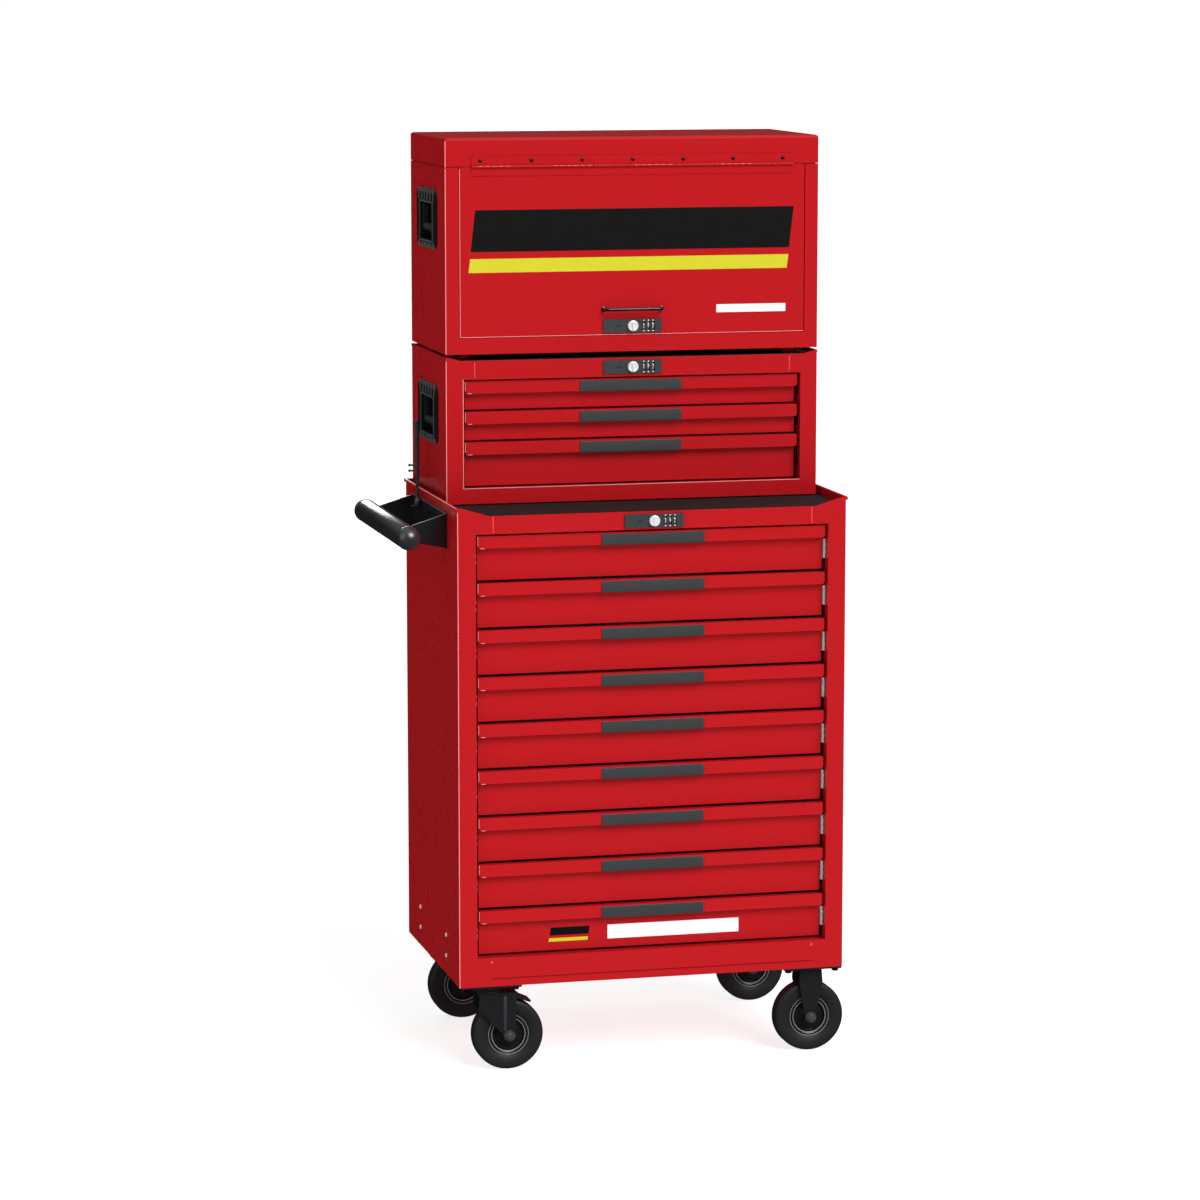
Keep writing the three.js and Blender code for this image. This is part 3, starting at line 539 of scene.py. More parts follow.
def slide_ends(name, case_half, material):
    """The ends of a drawer's slide, which show in the slits beside its lower face."""
    low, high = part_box(name)
    z = low.z + (high.z - low.z) * 0.46
    half = min(17 * MM, (high.z - low.z) * 0.22)
    for side, word, setback in ((-1, "left", 16 * MM), (1, "right", 9 * MM)):
        bm = bmesh.new()
        near = CENTRE_X + side * (case_half - 0.7 * MM)
        far = CENTRE_X + side * (case_half - 4.6 * MM)
        y = low.y + setback
        add_slab(bm, (near, y, z - half), (far, y + 24 * MM, z + half), 0.5 * MM)
        for foot, top in ((-0.45, -0.1), (0.25, 0.6)):
            start, end = (near, y - 1.2 * MM, z + half * foot), (far, y + 2 * MM, z + half * top)
            add_slab(bm, start, end, 0.3 * MM)
        from_bmesh(f"{name}_slide_end_{word}", bm, material, "chest")


# ---------------------------------------------------------------------- sheet edges
COARSE_HALF = 289  # millimetres: half the length of the piano hinge
COARSE_PAIR = 144.5  # millimetres: one coarse knuckle of the lid and one of the flap
LID_KNUCKLE = 64  # millimetres of each pair in which a glint still fits on the lid's knuckle
GLINT_PITCH = 12  # millimetres


def cabinet_rims():
    """The rolled edges along the tops of the cabinet's side walls, with rounded ends."""
    for word, skin, side in (("left", SIDE_LEFT, -1), ("right", SIDE_RIGHT, 1)):
        bm = bmesh.new()
        inner = (skin - side * 1.9 * MM, FRONT - 0.6 * MM, TRAY_TOP - 5.6 * MM)
        outer = (skin + side * 4.1 * MM, SHELL_HIGH.y + 0.6 * MM, TRAY_TOP + 0.6 * MM)
        add_slab(bm, inner, outer, 2.2 * MM, 4)
        from_bmesh(f"cabinet_rim_{word}", bm, RED, "chest")


def lines(name, runs, thickness, material, body):
    """Thin straight strips along the folded edges of the sheet, in the colour given: painted highlights, and
    painted shade in a crease; each run is a start and an end.
    """
    bm = bmesh.new()
    half = Vector((1, 1, 1)) * thickness / 2
    for start, end in runs:
        low, high = sorted_corners(start, end)
        add_slab(bm, low - half, high + half, thickness * 0.3, 1)
    from_bmesh(name, bm, material, body)


def case_edge_lines():
    """The light on the folded edges of the three cases and round the middle box's opening."""
    wide, half = CENTRE_X - MIDDLE_OPENING_HALF, CENTRE_X + MIDDLE_OPENING_HALF
    low, high = MIDDLE_OPENING_HEIGHTS
    left, front = UPPER_LEFT, UPPER_FRONT
    runs = [
        ((SIDE_LEFT, FRONT, SHELL_LOW.z + 1 * MM), (SIDE_LEFT, FRONT, TRAY_TOP - 8 * MM)),
        ((left, front, TOP_CORNER_FOOT), (left, front, LID_LOW.z - 1.5 * MM)),
        ((left, front, TRAY_TOP - 8 * MM), (left, front, MIDDLE_CORNER_TOP)),
        ((wide, front, low), (wide, front, high)),
        ((wide, front, low), (half, front, low)),
    ]
    lines("folded_edge_highlights", runs, 1.3 * MM, RED_BRIGHT_HIGHLIGHT, "chest")
    lid_run = ((left, front, LID_LOW.z + 1.5 * MM), (left, front, LID_HIGH.z - 6 * MM))
    lines("lid_edge_highlight", [lid_run], 1.3 * MM, RED_BRIGHT_HIGHLIGHT, "lid")
    rim = SIDE_LEFT - 3.4 * MM
    rim_run = ((rim, FRONT + 2 * MM, TRAY_TOP), (rim, SHELL_HIGH.y - 2 * MM, TRAY_TOP))
    lines("rim_highlight", [rim_run], 1.9 * MM, RED_BRIGHT_HIGHLIGHT, "chest")


def flap_edge_lines():
    """The light on the left and lower edges of the flap."""
    left, right, foot = FLAP_LOW.x + 0.4 * MM, FLAP_HIGH.x - 0.4 * MM, FLAP_LOW.z + 0.4 * MM
    face = FLAP_FRONT + 0.3 * MM
    upright = ((left, face, foot), (left, face, FLAP_HIGH.z - 6 * MM))
    level = ((left, face, foot), (right, face, foot))
    lines("flap_edge_lines", [upright, level], 1.1 * MM, RED_BRIGHT_HIGHLIGHT, "flap")


def apron_crease():
    """The shaded crease along the foot of the cabinet's front."""
    z = SHELL_LOW.z + 14 * MM
    run = ((CENTRE_X - 290 * MM, FRONT, z), (CENTRE_X + 290 * MM, FRONT, z))
    lines("apron_crease", [run], 1.2 * MM, RED_SHADE, "chest")


def hinge_glints():
    """Short glints on the piano hinge, only along the coarse knuckles that turn with the lid."""
    _, pin_y, pin_z = HINGES["flap_hinge"]["pos_m"]
    y, z = pin_y - 2.65 * MM, pin_z + 0.8 * MM
    starts = [
        CENTRE_X + x * MM
        for x in range(-276, 270, GLINT_PITCH)
        if (x + COARSE_HALF) % COARSE_PAIR < LID_KNUCKLE
    ]
    runs = [((x, y, z), (x + 7 * MM, y, z)) for x in starts]
    lines("hinge_glints", runs, 0.5 * MM, RED_BRIGHT_HIGHLIGHT, "lid")


def rail_lines(name):
    """The light on the left end of a drawer's rail and at the start of its lower edge."""
    corner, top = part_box(name)
    x, y, foot = corner.x, corner.y, top.z - RAIL_HEIGHT
    upright = ((x, y, foot + 5 * MM), (x, y, top.z - 0.8 * MM))
    level = ((x + 5 * MM, y, foot), (x + 12 * MM, y, foot))
    lines(f"{name}_rail_highlight", [upright, level], 0.9 * MM, RED_BRIGHT_HIGHLIGHT, name)


def header_seams():
    """The spot-welded seams in the headers of the cabinet and the middle box, in the lighter red of a painted
    highlight.
    """
    bm = bmesh.new()
    headers = (
        (TRAY_TOP - 44 * MM, TRAY_TOP - 16 * MM, FRONT),
        (MIDDLE_HIGH.z - 36 * MM, MIDDLE_HIGH.z - 10 * MM, UPPER_FRONT),
    )
    for low, high, face in headers:
        for side in (-1, 1):
            x = CENTRE_X + side * 284 * MM
            start, end = (x - 0.9 * MM, face - 0.35 * MM, low), (x + 0.9 * MM, face + 0.2 * MM, high)
            add_slab(bm, start, end, 0.15 * MM)
    from_bmesh("header_seams", bm, RED_SOFT_HIGHLIGHT, "chest")


# ---------------------------------------------------------------------- rivets, screws
def rivets(name, spots, axis, radius, height, material, body):
    bm = bmesh.new()
    for spot in spots:
        add_turned(bm, dome(radius, height), spot, axis, 16)
    from_bmesh(name, bm, material, body, 60)


def hinge_rivets():
    """Seven dark rivets in the raised strip of the piano hinge, and three small ones in the flap."""
    strip_face = LID_LOW.y + 3.1 * MM
    z = HINGES["flap_hinge"]["pos_m"][2] + 10.5 * MM
    spots = [(CENTRE_X + (-273 + 542 * k / 6) * MM, strip_face, z) for k in range(7)]
    rivets("hinge_strip_rivets", spots, "-y", 3.6 * MM, 1.6 * MM, DARK_BOLT, "lid")
    low_spots = [(CENTRE_X + x * MM, FLAP_FRONT, FLAP_HIGH.z - 13 * MM) for x in (-273, -2, 269)]
    # The small flap rivets are in the painted highlight red.
    rivets("flap_rivets", low_spots, "-y", 2.2 * MM, 0.9 * MM, RED_SOFT_HIGHLIGHT, "flap")


def case_screws():
    """Pan-head screws low in the cabinet's sides, and two rivets in its apron."""
    places = [(y * MM, z * MM) for y, z in ((115, 225), (115, 188), (341.5, 226), (341.5, 189))]
    for word, skin, axis in (("left", SIDE_LEFT, "-x"), ("right", SIDE_RIGHT, "x")):
        spots = [(skin, FRONT + y, z) for y, z in places]
        rivets(f"side_screws_{word}", spots, axis, 4 * MM, 1.8 * MM, SATIN, "chest")
    apron = [(CENTRE_X + side * 289 * MM, FRONT, 198 * MM) for side in (-1, 1)]
    # The apron rivets are in the painted highlight red.
    rivets("apron_rivets", apron, "-y", 2.4 * MM, 0.9 * MM, RED_SOFT_HIGHLIGHT, "chest")


def fine_knuckles(name, joint, body, first, material, radius=2.6 * MM, pitch=6 * MM, count=96):
    """Every second knuckle of a piano hinge, standing just clear of the coarse knuckles inside."""
    _, y, z = HINGES[joint]["pos_m"]
    bm = bmesh.new()
    start = CENTRE_X - pitch * count / 2
    for k in range(first, count, 2):
        half = pitch / 2 - 0.35 * MM
        profile = [(0, -half), (radius - 0.3 * MM, -half), (radius, -half + 0.3 * MM)]
        profile += [(radius, half - 0.3 * MM), (radius - 0.3 * MM, half), (0, half)]
        add_turned(bm, profile, (start + pitch * (k + 0.5), y, z), "x", 12)
    from_bmesh(name, bm, material, body)


# ---------------------------------------------------------------------- flap
FILM = 0.15 * MM


def slanted(low_x, high_x, low_z, high_z, lean):
    """A bar whose upper edge is shifted sideways, as (x, z) corners."""
    return [(low_x, low_z), (high_x, low_z), (high_x + lean, high_z), (low_x + lean, high_z)]


def film(name, shape, face, material, body):
    """Thin film cut to a plain shape, in millimetres from the chest's centre line and the floor."""
    bm = bmesh.new()
    points = [(CENTRE_X + x * MM, z * MM) for x, z in shape]
    add_prism(bm, points, face - FILM, face + 0.02 * MM, "y")
    from_bmesh(name, bm, material, body)


def flap_graphic():
    """Plain stripes in black and yellow across the flap, and a white bar below them."""
    film("flap_film_black", slanted(-290, 282, 1420, 1492, 8), FLAP_FRONT, BLACK_FILM, "flap")
    film("flap_film_yellow", slanted(-294, 278, 1384, 1408, 3), FLAP_FRONT, YELLOW, "flap")
    film("flap_film_white", slanted(150, 276, 1308, 1322, 0), FLAP_FRONT, WHITE, "flap")


def drawer_graphic():
    """The same stripes, small, and a white bar on the face of the lowest drawer."""
    name = CABINET_DRAWERS[-1]
    low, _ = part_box(name)
    face, foot = low.y + 13 * MM, low.z / MM
    film("drawer_film_black", slanted(-182, -112, foot + 26, foot + 40, 2), face, BLACK_FILM, name)
    film("drawer_film_yellow", slanted(-184, -114, foot + 15, foot + 21, 1), face, YELLOW, name)
    film("drawer_film_white", slanted(-78, 160, foot + 15, foot + 40, 0), face, WHITE, name)


def flap_pull():
    """The wire pull: a bar with two bent legs, each in a small foot."""
    low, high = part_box("flap_pull")
    radius = (high.z - low.z) / 2
    z = (low.z + high.z) / 2
    curve = bpy.data.curves.new("flap_pull_path", "CURVE")
    curve.dimensions = "3D"
    curve.bevel_depth = radius
    curve.bevel_resolution = 5
    spline = curve.splines.new("POLY")
    bend = 7 * MM
    left, right, out = low.x + radius, high.x - radius, low.y + radius
    points = [(left, high.y)]
    for k in range(7):
        a = math.pi / 2 * k / 6
        points.append((left + bend * (1 - math.cos(a)), out + bend * (1 - math.sin(a))))
    for k in range(7):
        a = math.pi / 2 * k / 6
        points.append((right - bend * (1 - math.sin(a)), out + bend * (1 - math.cos(a))))
    points.append((right, high.y))
    spline.points.add(len(points) - 1)
    for spot, (x, y) in zip(spline.points, points):
        spot.co = (x, y, z, 1.0)
    curve.use_fill_caps = True
    wire = bpy.data.objects.new("flap_pull_wire", curve)
    bpy.context.scene.collection.objects.link(wire)
    mesh = bpy.data.meshes.new_from_object(wire)
    bpy.data.objects.remove(wire)
    bm = bmesh.new()
    bm.from_mesh(mesh)
    foot = [(0, 0), (4.6, 0), (4.4, 1.2), (3.2, 1.8), (0, 1.8)]
    for x in (left, right):
        add_turned(bm, [(a * MM, b * MM) for a, b in foot], (x, FLAP_FRONT, z), "-y", 24)
    piece = from_bmesh("flap_pull_bar", bm, BLACK_GLOSS, "flap", 50)
    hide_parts("flap_pull")


# ---------------------------------------------------------------------- locks
DIAL_PITCH = 8.4 * MM
PRINT = 0.12 * MM
SUNK = 0.02 * MM


def lock(prefix):
    """Fine pieces of a combination lock, round the places of its knob and number wheels."""
    body = "flap" if prefix == "flap" else "chest"
    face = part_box(f"{prefix}_lock_case")[0].y
    x, _, z = HINGES[f"{prefix}_lock_turn"]["pos_m"]
    dial = Vector(HINGES[f"{prefix}_dials_spin"]["pos_m"])
    lock_knob(prefix, x, face, z)
    number_wheels(prefix, dial)
    window_dividers(prefix, dial.x, face, z, body)
    pointers(prefix, dial.x, face, z, body)
    key_mark(prefix, x - 27 * MM, face, z, body)
    number_strip(prefix, dial)


def lock_knob(prefix, x, face, z):
    """A dished round knob with a raised finger bar."""
    bm = bmesh.new()
    rim = [(0, 0.3), (9.5, 0.3), (9.6, 1.2), (9.6, 3.6), (9.0, 4.8), (8.2, 5.2), (7.4, 4.9), (0, 4.9)]
    add_turned(bm, [(r * MM, h * MM) for r, h in rim], (x, face, z), "-y", 40)
    bar = rounded(2.1 * MM, z - 7.4 * MM, z + 7.4 * MM, 1.6 * MM)
    add_prism(bm, [(x + a, b) for a, b in bar], face - 7.6 * MM, face - 4.6 * MM, "y")
    knob = from_bmesh(f"{prefix}_knob", bm, SATIN, f"{prefix}_lock_knob")
    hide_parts(f"{prefix}_lock_knob")


def number_wheels(prefix, dial):
    """Three number wheels with chamfered edges."""
    bm = bmesh.new()
    half, radius, chamfer = 3.5 * MM, 6.7 * MM, 0.6 * MM
    profile = [(0, -half), (6.3 * MM, -half), (radius, -half + chamfer)]
    profile += [(radius, half - chamfer), (6.3 * MM, half), (0, half)]
    for k in (-1, 0, 1):
        add_turned(bm, profile, (dial.x + k * DIAL_PITCH, dial.y, dial.z), "x", 20)
    wheels = from_bmesh(f"{prefix}_number_wheels", bm, BLACK_FILM, f"{prefix}_lock_dials", 10)
    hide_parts(f"{prefix}_lock_dials")


def window_dividers(prefix, dial_x, face, z, body):
    """Upright bars beside and between the number wheels."""
    bm = bmesh.new()
    for k, half in ((-1.5, 1.2 * MM), (-0.5, 1.5 * MM), (0.5, 1.5 * MM), (1.5, 1.2 * MM)):
        x = dial_x + k * DIAL_PITCH
        start, end = (x - half, face - 0.15 * MM, z - 8 * MM), (x + half, face + 0.15 * MM, z + 8 * MM)
        add_slab(bm, start, end, 0.1 * MM, 1)
    from_bmesh(f"{prefix}_window_dividers", bm, DARK_PLASTIC, body)


def pointers(prefix, dial_x, face, z, body):
    """A small white triangle over and under each number wheel."""
    bm = bmesh.new()
    for k in (-1, 0, 1):
        x = dial_x + k * DIAL_PITCH
        for way in (-1, 1):
            foot = z + way * 8.4 * MM
            points = [(x - 1.6 * MM, foot), (x + 1.6 * MM, foot), (x, foot + way * 2.2 * MM)]
            add_prism(bm, points, face - PRINT, face + SUNK, "y")
    from_bmesh(f"{prefix}_pointers", bm, WHITE, body)


def key_mark(prefix, x, face, z, body):
    """A plain ring with a short bar, printed beside the knob."""
    bm = bmesh.new()
    outer, inner = 2.2 * MM, 1.5 * MM
    ring = [(outer, -SUNK), (outer, PRINT), (inner, PRINT), (inner, -SUNK)]
    add_turned(bm, ring, (x, face, z), "-y", 24)
    start, end = (x + outer, face - PRINT, z - 0.5 * MM), (x + 8 * MM, face + SUNK, z + 0.5 * MM)
    add_slab(bm, start, end)
    from_bmesh(f"{prefix}_key_mark", bm, BLACK_FILM, body)


def digit_mesh(text):
    font = bpy.data.curves.new("digit", "FONT")
    font.body = text
    font.size = 6.2 * MM
    font.align_x = "CENTER"
    font.align_y = "CENTER"
    holder = bpy.data.objects.new("digit", font)
    bpy.context.scene.collection.objects.link(holder)
    mesh = bpy.data.meshes.new_from_object(holder)
    bpy.data.objects.remove(holder)
    return mesh


def number_strip(prefix, dial):
    """The numbers 0 to 9 round each of the three wheels."""
    bm = bmesh.new()
    stand = Matrix.Translation((0, -6.76 * MM, 0)) @ Matrix.Rotation(math.pi / 2, 4, "X")
    for value in range(10):
        digit = digit_mesh(str(value))
        for k in (-1, 0, 1):
            turn = Matrix.Rotation(2 * math.pi * (value + 3 * k) / 10, 4, "X")
            place = Matrix.Translation((dial.x + k * DIAL_PITCH, dial.y, dial.z)) @ turn @ stand
            copy = digit.copy()
            copy.transform(place)
            bm.from_mesh(copy)
    from_bmesh(f"{prefix}_numbers", bm, WHITE, f"{prefix}_lock_dials")


# ---------------------------------------------------------------------- carry handles
def carry_handle(box_name, side):
    """The fine pieces of a carry handle: its plate's ribs and screws, and its bail's sleeve."""
    way, axis = (-1, "-x") if side == "left" else (1, "x")
    plate = f"{box_name}_handle_plate_{side}"
    low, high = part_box(plate)
    face = low.x if side == "left" else high.x
    y, z = (low.y + high.y) / 2, (low.z + high.z) / 2
    plate_ribs(plate, way, face, y, z)
    spots = [(face, y + a * 74 * MM, z + b * 40 * MM) for a in (-1, 1) for b in (-1, 1)]
    rivets(f"{plate}_screws", spots, axis, 3.2 * MM, 1.6 * MM, DARK_BOLT, "chest")
    bail_sleeve(box_name, side, y)


def plate_ribs(plate, way, face, y, z):
    """Short ribs, the lobes of the plate's outline, and a raised rim round its hollow, in a mid grey that paints
    the highlights on them.
    """
    bm = bmesh.new()
    for offset in (-60, -36, -12, 12, 36, 60):
        for base, top in ((31, 45), (-47, -41)):
            centre = y + offset * MM
            start = (face - way * 0.3 * MM, centre - 3.2 * MM, z + base * MM)
            end = (face + way * 1.0 * MM, centre + 3.2 * MM, z + top * MM)
            add_slab(bm, start, end, 0.8 * MM)
    back, front = sorted((face - way * 2.4 * MM, face + way * 0.2 * MM))
    for offset in (-62, -37, -12.5, 12.5, 37, 62):
        for edge in (z - 48 * MM, z + 48 * MM):
            lobe = rounded(9.5 * MM, edge - 4 * MM, edge + 4 * MM, 3.6 * MM)
            add_prism(bm, [(y + offset * MM + u, v) for u, v in lobe], back, front, "x")
    outer = [(y + a, b) for a, b in rounded(57 * MM, z - 41 * MM, z + 30 * MM, 4 * MM)]
    inner = [(y + a, b) for a, b in rounded(54.3 * MM, z - 38.3 * MM, z + 27.3 * MM, 2 * MM)]
    ring_prism(bm, outer, inner, face - way * 0.2 * MM, face + way * 1.2 * MM)
    from_bmesh(f"{plate}_ribs", bm, HANDLE_RIB_HIGHLIGHT, "chest")


def bail_sleeve(box_name, side, y):
    """The moulded sleeve on the grip of a bail, with nine rings."""
    bail = f"{box_name}_handle_bail_{side}"
    x, _, pivot_z = HINGES[f"{box_name}_bail_{side}_swing"]["pos_m"]
    z = pivot_z - 37 * MM
    bm = bmesh.new()
    r = 6.2 * MM
    half = 38 * MM
    profile = [(0, -half), (r - 1.5 * MM, -half), (r, -half + 2 * MM)]
    profile += [(r, half - 2 * MM), (r - 1.5 * MM, half), (0, half)]
    add_turned(bm, profile, (x, y, z), "y", 24)
    low, high = r - 0.3 * MM, r + 0.7 * MM
    ring = [(low, -2.4 * MM), (high, -1.6 * MM), (high, 1.6 * MM), (low, 2.4 * MM)]
    for k in range(9):
        add_turned(bm, ring, (x, y + (k - 4) * 8 * MM, z), "y", 24)
    from_bmesh(f"{bail}_sleeve", bm, BLACK_PLASTIC, bail, 50)


def ring_prism(bm, outer, inner, start, end):
    """A flat ring between two (y, z) outlines with the same number of points, with thickness along x."""
    corners = ((outer, start), (outer, end), (inner, end), (inner, start))
    rows = [[bm.verts.new((x, a, b)) for a, b in outline] for outline, x in corners]
    for first, second in zip(rows, rows[1:] + rows[:1]):
        for k in range(len(outer)):
            nxt = (k + 1) % len(outer)
            bm.faces.new([first[k], first[nxt], second[nxt], second[k]])


# ---------------------------------------------------------------------- push handle
def push_grip():
    """The round grip: a long bar with ball ends, each behind a narrow neck."""
    low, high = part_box("push_handle_grip")
    r = (high.z - low.z) / 2
    half = (high.y - low.y) / 2
    angles = [math.pi / 2 * k / 12 for k in range(15)]
    start = [(r * math.sin(a), -half + r * (1 - math.cos(a))) for a in angles]
    neck = start[-1][1]
    steps = ((2.4, 1.4), (2.4, 2.4), (0.6, 3.4), (0.3, 4.6))
    start += [(r - inset * MM, neck + along * MM) for inset, along in steps]
    bm = bmesh.new()
    profile = start + [(radius, -height) for radius, height in reversed(start)]
    add_turned(bm, profile, (low + high) / 2, "y", 48)
    grip = from_bmesh("push_grip_bar", bm, GRIP_PLASTIC, "chest", 40)
    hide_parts("push_handle_grip")


def push_bracket():
    """The screws in the bracket of the push handle, and the light on its upper edges."""
    low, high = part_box("push_handle_bracket")
    screw_x = SIDE_LEFT - 2.8 * MM
    spots = [(screw_x, low.y + a * MM, low.z + b * MM) for a in (30, 137, 244) for b in (12, 49)]
    rivets("push_handle_screws", spots, "-x", 4.2 * MM, 2 * MM, DARK_BOLT, "chest")
    bm = bmesh.new()
    root_x, root_z = SIDE_LEFT - 1.5 * MM, high.z - 0.6 * MM
    tip_x, tip_z = SIDE_LEFT - 61 * MM, high.z - 19.4 * MM
    arm = [(root_x, root_z), (tip_x, tip_z), (tip_x, tip_z + 1.0 * MM), (root_x, root_z + 1.0 * MM)]
    add_prism(bm, arm, low.y - 0.3 * MM, low.y + 1.6 * MM, "y")
    start = (SIDE_LEFT - 3.0 * MM, low.y - 0.3 * MM, high.z - 0.6 * MM)
    end = (SIDE_LEFT - 1.6 * MM, high.y, high.z + 0.3 * MM)
    add_slab(bm, start, end)
    from_bmesh("push_bracket_edge_highlight", bm, STEEL_HIGHLIGHT, "chest")


# ---------------------------------------------------------------------- casters
FORK_HALF = 23.5 * MM


def wheel(corner):
    """A caster's wheel: tyre, moulded centre and axle bolt."""
    body = f"{corner}_wheel"
    centre = Vector(HINGES[f"{corner}_roll"]["pos_m"])
    tyre(corner, body, centre)
    rim_beads(corner, body, centre)
    wheel_centre(corner, body, centre)
    axle_bolt(corner, centre)


def tyre(corner, body, centre):
    """A turned tyre with rounded shoulders; the height of its axle is its radius."""
    shoulder = 7 * MM
    angles = [math.pi / 2 * k / 6 for k in range(7)]
    left = [(37 * MM, -13 * MM), (40 * MM, -15 * MM), (50 * MM, -16 * MM)]
    base = centre.z - shoulder
    left += [(base + shoulder * math.sin(a), -9.5 * MM - 6.5 * MM * math.cos(a)) for a in angles]
    bm = bmesh.new()
    add_turned(bm, left + [(r, -h) for r, h in reversed(left)], centre, "y", 72)
    tread = from_bmesh(f"{corner}_tyre_tread", bm, RUBBER, body, 40)
    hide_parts(f"{corner}_tyre")


def rim_beads(corner, body, centre):
    """Two beads on each side of the moulded centre, in a light grey that is a painted highlight."""
    ring = [(29.2, 13.4), (30.6, 13.9), (30.6, 12.6), (29.2, 12.2)]
    bm = bmesh.new()
    for way in (-1, 1):
        profile = [(r * MM, way * h * MM) for r, h in ring]
        add_turned(bm, profile, centre, "y", 72)
        add_turned(bm, [(r + 5.6 * MM, h * 1.05) for r, h in profile], centre, "y", 72)
    from_bmesh(f"{corner}_rim_beads", bm, STEEL_HIGHLIGHT, body)


def wheel_centre(corner, body, centre):
    """The moulded centre, from its hub over a thin web to its rim."""
    half = [(5.6, 19), (11, 19), (12.5, 18), (13, 10), (15.5, 8), (27, 7)]
    half += [(29, 8.5), (30.5, 13), (32, 14.2), (35.5, 14.2), (37.2, 12.6)]
    side = [(r * MM, h * MM) for r, h in half]
    bm = bmesh.new()
    add_turned(bm, side + [(r, -h) for r, h in reversed(side)], centre, "y", 72)
    spokes(bm, centre)
    moulding = from_bmesh(f"{corner}_wheel_centre", bm, RIM_PLASTIC, body, 40)
    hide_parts(f"{corner}_rim")


def axle_bolt(corner, centre):
    """The bolt through the wheel, with a nut, a bolt end and a spacer on each side."""
    x, y, z = centre
    bolt_end = [(0, 0), (4.6, 0), (4.6, 2), (3.8, 2.6), (0, 2.6)]
    bm = bmesh.new()
    for way, axis in ((-1, "-y"), (1, "y")):
        nut_at = (x, y + way * (FORK_HALF + 1.2 * MM), z)
        end_at = (x, y + way * (FORK_HALF + 6 * MM), z)
        hex_head(bm, nut_at, axis, 13 * MM, 6 * MM, 10 * MM)
        add_turned(bm, [(r * MM, h * MM) for r, h in bolt_end], end_at, axis, 20)
        add_turned(bm, disc(8.5 * MM, -0.4 * MM, 0.4 * MM), (x, y + way * 20 * MM, z), axis, 20)
    add_turned(bm, disc(5 * MM, -FORK_HALF, FORK_HALF), centre, "y", 20)
    carrier = f"{corner}_fork" if corner in SWIVEL_CORNERS else "chest"
    bolt = from_bmesh(f"{corner}_axle_bolt", bm, NUT_STEEL, carrier, 30)
    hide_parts(f"{corner}_axle")


def spokes(bm, centre):
    """Low ribs on both sides of the wheel's web."""
    size = Matrix.Diagonal((15 * MM, 2.4 * MM, 3 * MM, 1.0))
    for way in (-1, 1):
        out = Matrix.Translation((21 * MM, way * 7.6 * MM, 0))
        for k in range(6):
            turn = Matrix.Rotation(math.pi / 3 * k, 4, "Y")
            place = Matrix.Translation(centre) @ turn @ out
            bmesh.ops.create_cube(bm, size=1.0, matrix=place @ size)


def plate_bolts(corner):
    """The four bolts that hold a caster's plate to the cabinet."""
    plate = f"{corner}_caster_plate" if corner in SWIVEL_CORNERS else f"{corner}_fixed_fork"
    low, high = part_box(plate)
    x, y = (low.x + high.x) / 2, (low.y + high.y) / 2
    bm = bmesh.new()
    for a in (-1, 1):
        for b in (-1, 1):
            spot = (x + a * 43 * MM, y + b * 27 * MM, high.z - 3.4 * MM)
            hex_head(bm, spot, "-z", 11 * MM, 5 * MM, 8 * MM)
    from_bmesh(f"{corner}_plate_bolts", bm, DARK_BOLT, "chest", 30)


def swivel_race(corner):
    """The ball race under a swivel caster's plate."""
    low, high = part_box(f"{corner}_caster_plate")
    x, y = (low.x + high.x) / 2, (low.y + high.y) / 2
    bm = bmesh.new()
    profile = [(24, 8.8), (31, 8.2), (33, 6.4), (33, 4.0), (31.5, 3.2), (24, 3.2)]
    add_turned(bm, [(r * MM, high.z - h * MM) for r, h in profile], (x, y, 0), "z", 48)
    from_bmesh(f"{corner}_ball_race", bm, BLACK_STEEL, "chest", 40)


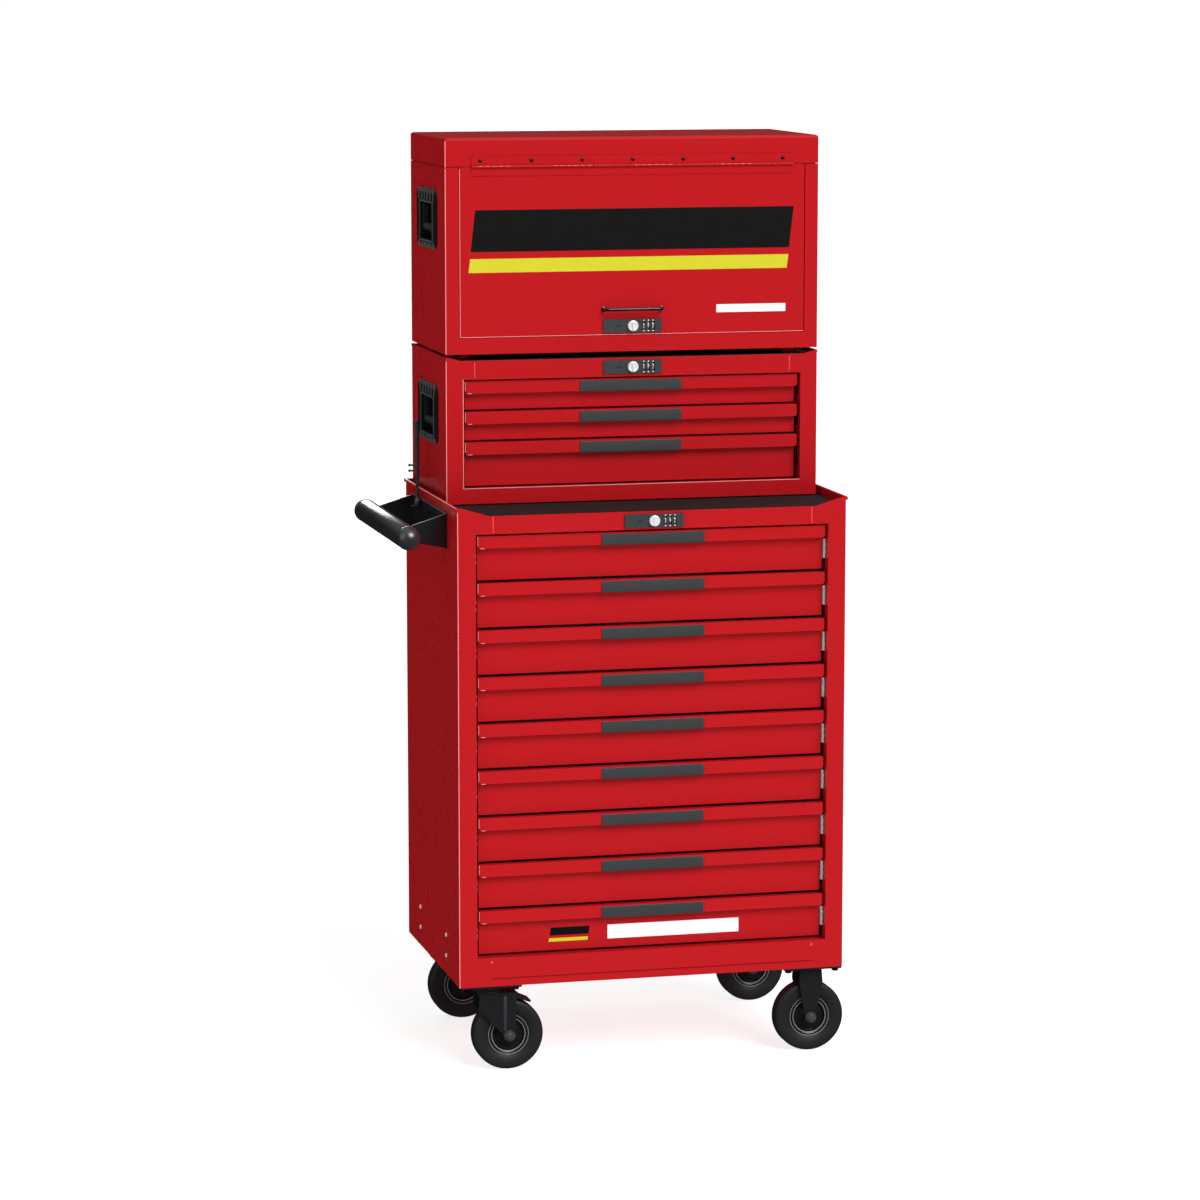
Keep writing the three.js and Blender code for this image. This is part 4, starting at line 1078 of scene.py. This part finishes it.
def fork_ribs(corner):
    """A pressed rib down each leg of a swivel fork, in a lighter grey that paints the highlight along it."""
    x, y, z = HINGES[f"{corner}_roll"]["pos_m"]
    bm = bmesh.new()
    for way in (-1, 1):
        start = (x - 11 * MM, y + way * 23.2 * MM, z + 9 * MM)
        end = (x - 5 * MM, y + way * 25 * MM, z + 70 * MM)
        add_slab(bm, start, end, 0.9 * MM)
    from_bmesh(f"{corner}_fork_ribs", bm, POST_STEEL, f"{corner}_fork")


def brake_tread(corner):
    """Ridges pressed in the tread of a brake pedal, which slopes down towards its end."""
    low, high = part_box(f"{corner}_brake_pedal")
    first, last = low.x + 12 * MM, high.x - 6 * MM
    drop = high.z - low.z - 4.5 * MM
    bm = bmesh.new()
    for k in range(4):
        share = k / 3
        x = first + (last - first) * share
        z = high.z - 1.5 * MM - drop * max(0.0, share * 1.05 - 0.08)
        start = (x - 1.2 * MM, low.y + 11 * MM, z - 1.2 * MM)
        end = (x + 1.2 * MM, high.y - 11 * MM, z + 1.0 * MM)
        add_slab(bm, start, end, 0.5 * MM)
    from_bmesh(f"{corner}_brake_ridges", bm, BLACK_STEEL, f"{corner}_brake")


# ---------------------------------------------------------------------- the whole chest
finish_all_nodes()
camera()
floor()
studio()

tray_mats()
cabinet_rims()
case_edge_lines()
flap_edge_lines()
apron_crease()
hinge_glints()
for drawer in DRAWERS:
    rail_lines(drawer)
header_seams()
for drawer in DRAWERS:
    drawer_grip(drawer)
for drawer in CABINET_DRAWERS:
    slide_ends(drawer, CABINET_OPENING_HALF, SLIDE_ZINC)
for drawer in MIDDLE_DRAWERS:
    slide_ends(drawer, MIDDLE_OPENING_HALF, DARK_BOLT)
hinge_rivets()
case_screws()
fine_knuckles("flap_knuckles_on_lid", "flap_hinge", "lid", 0, RED)
fine_knuckles("flap_knuckles_on_flap", "flap_hinge", "flap", 1, RED)
fine_knuckles("lid_knuckles_on_box", "lid_hinge", "chest", 0, RED)
fine_knuckles("lid_knuckles_on_lid", "lid_hinge", "lid", 1, RED)
flap_graphic()
drawer_graphic()
flap_pull()
for prefix in LOCKS:
    lock(prefix)
for box_name in BOXES:
    for side in ("left", "right"):
        carry_handle(box_name, side)
push_grip()
push_bracket()
for corner in CORNERS:
    wheel(corner)
    plate_bolts(corner)
for corner in SWIVEL_CORNERS:
    swivel_race(corner)
    fork_ribs(corner)
    brake_tread(corner)
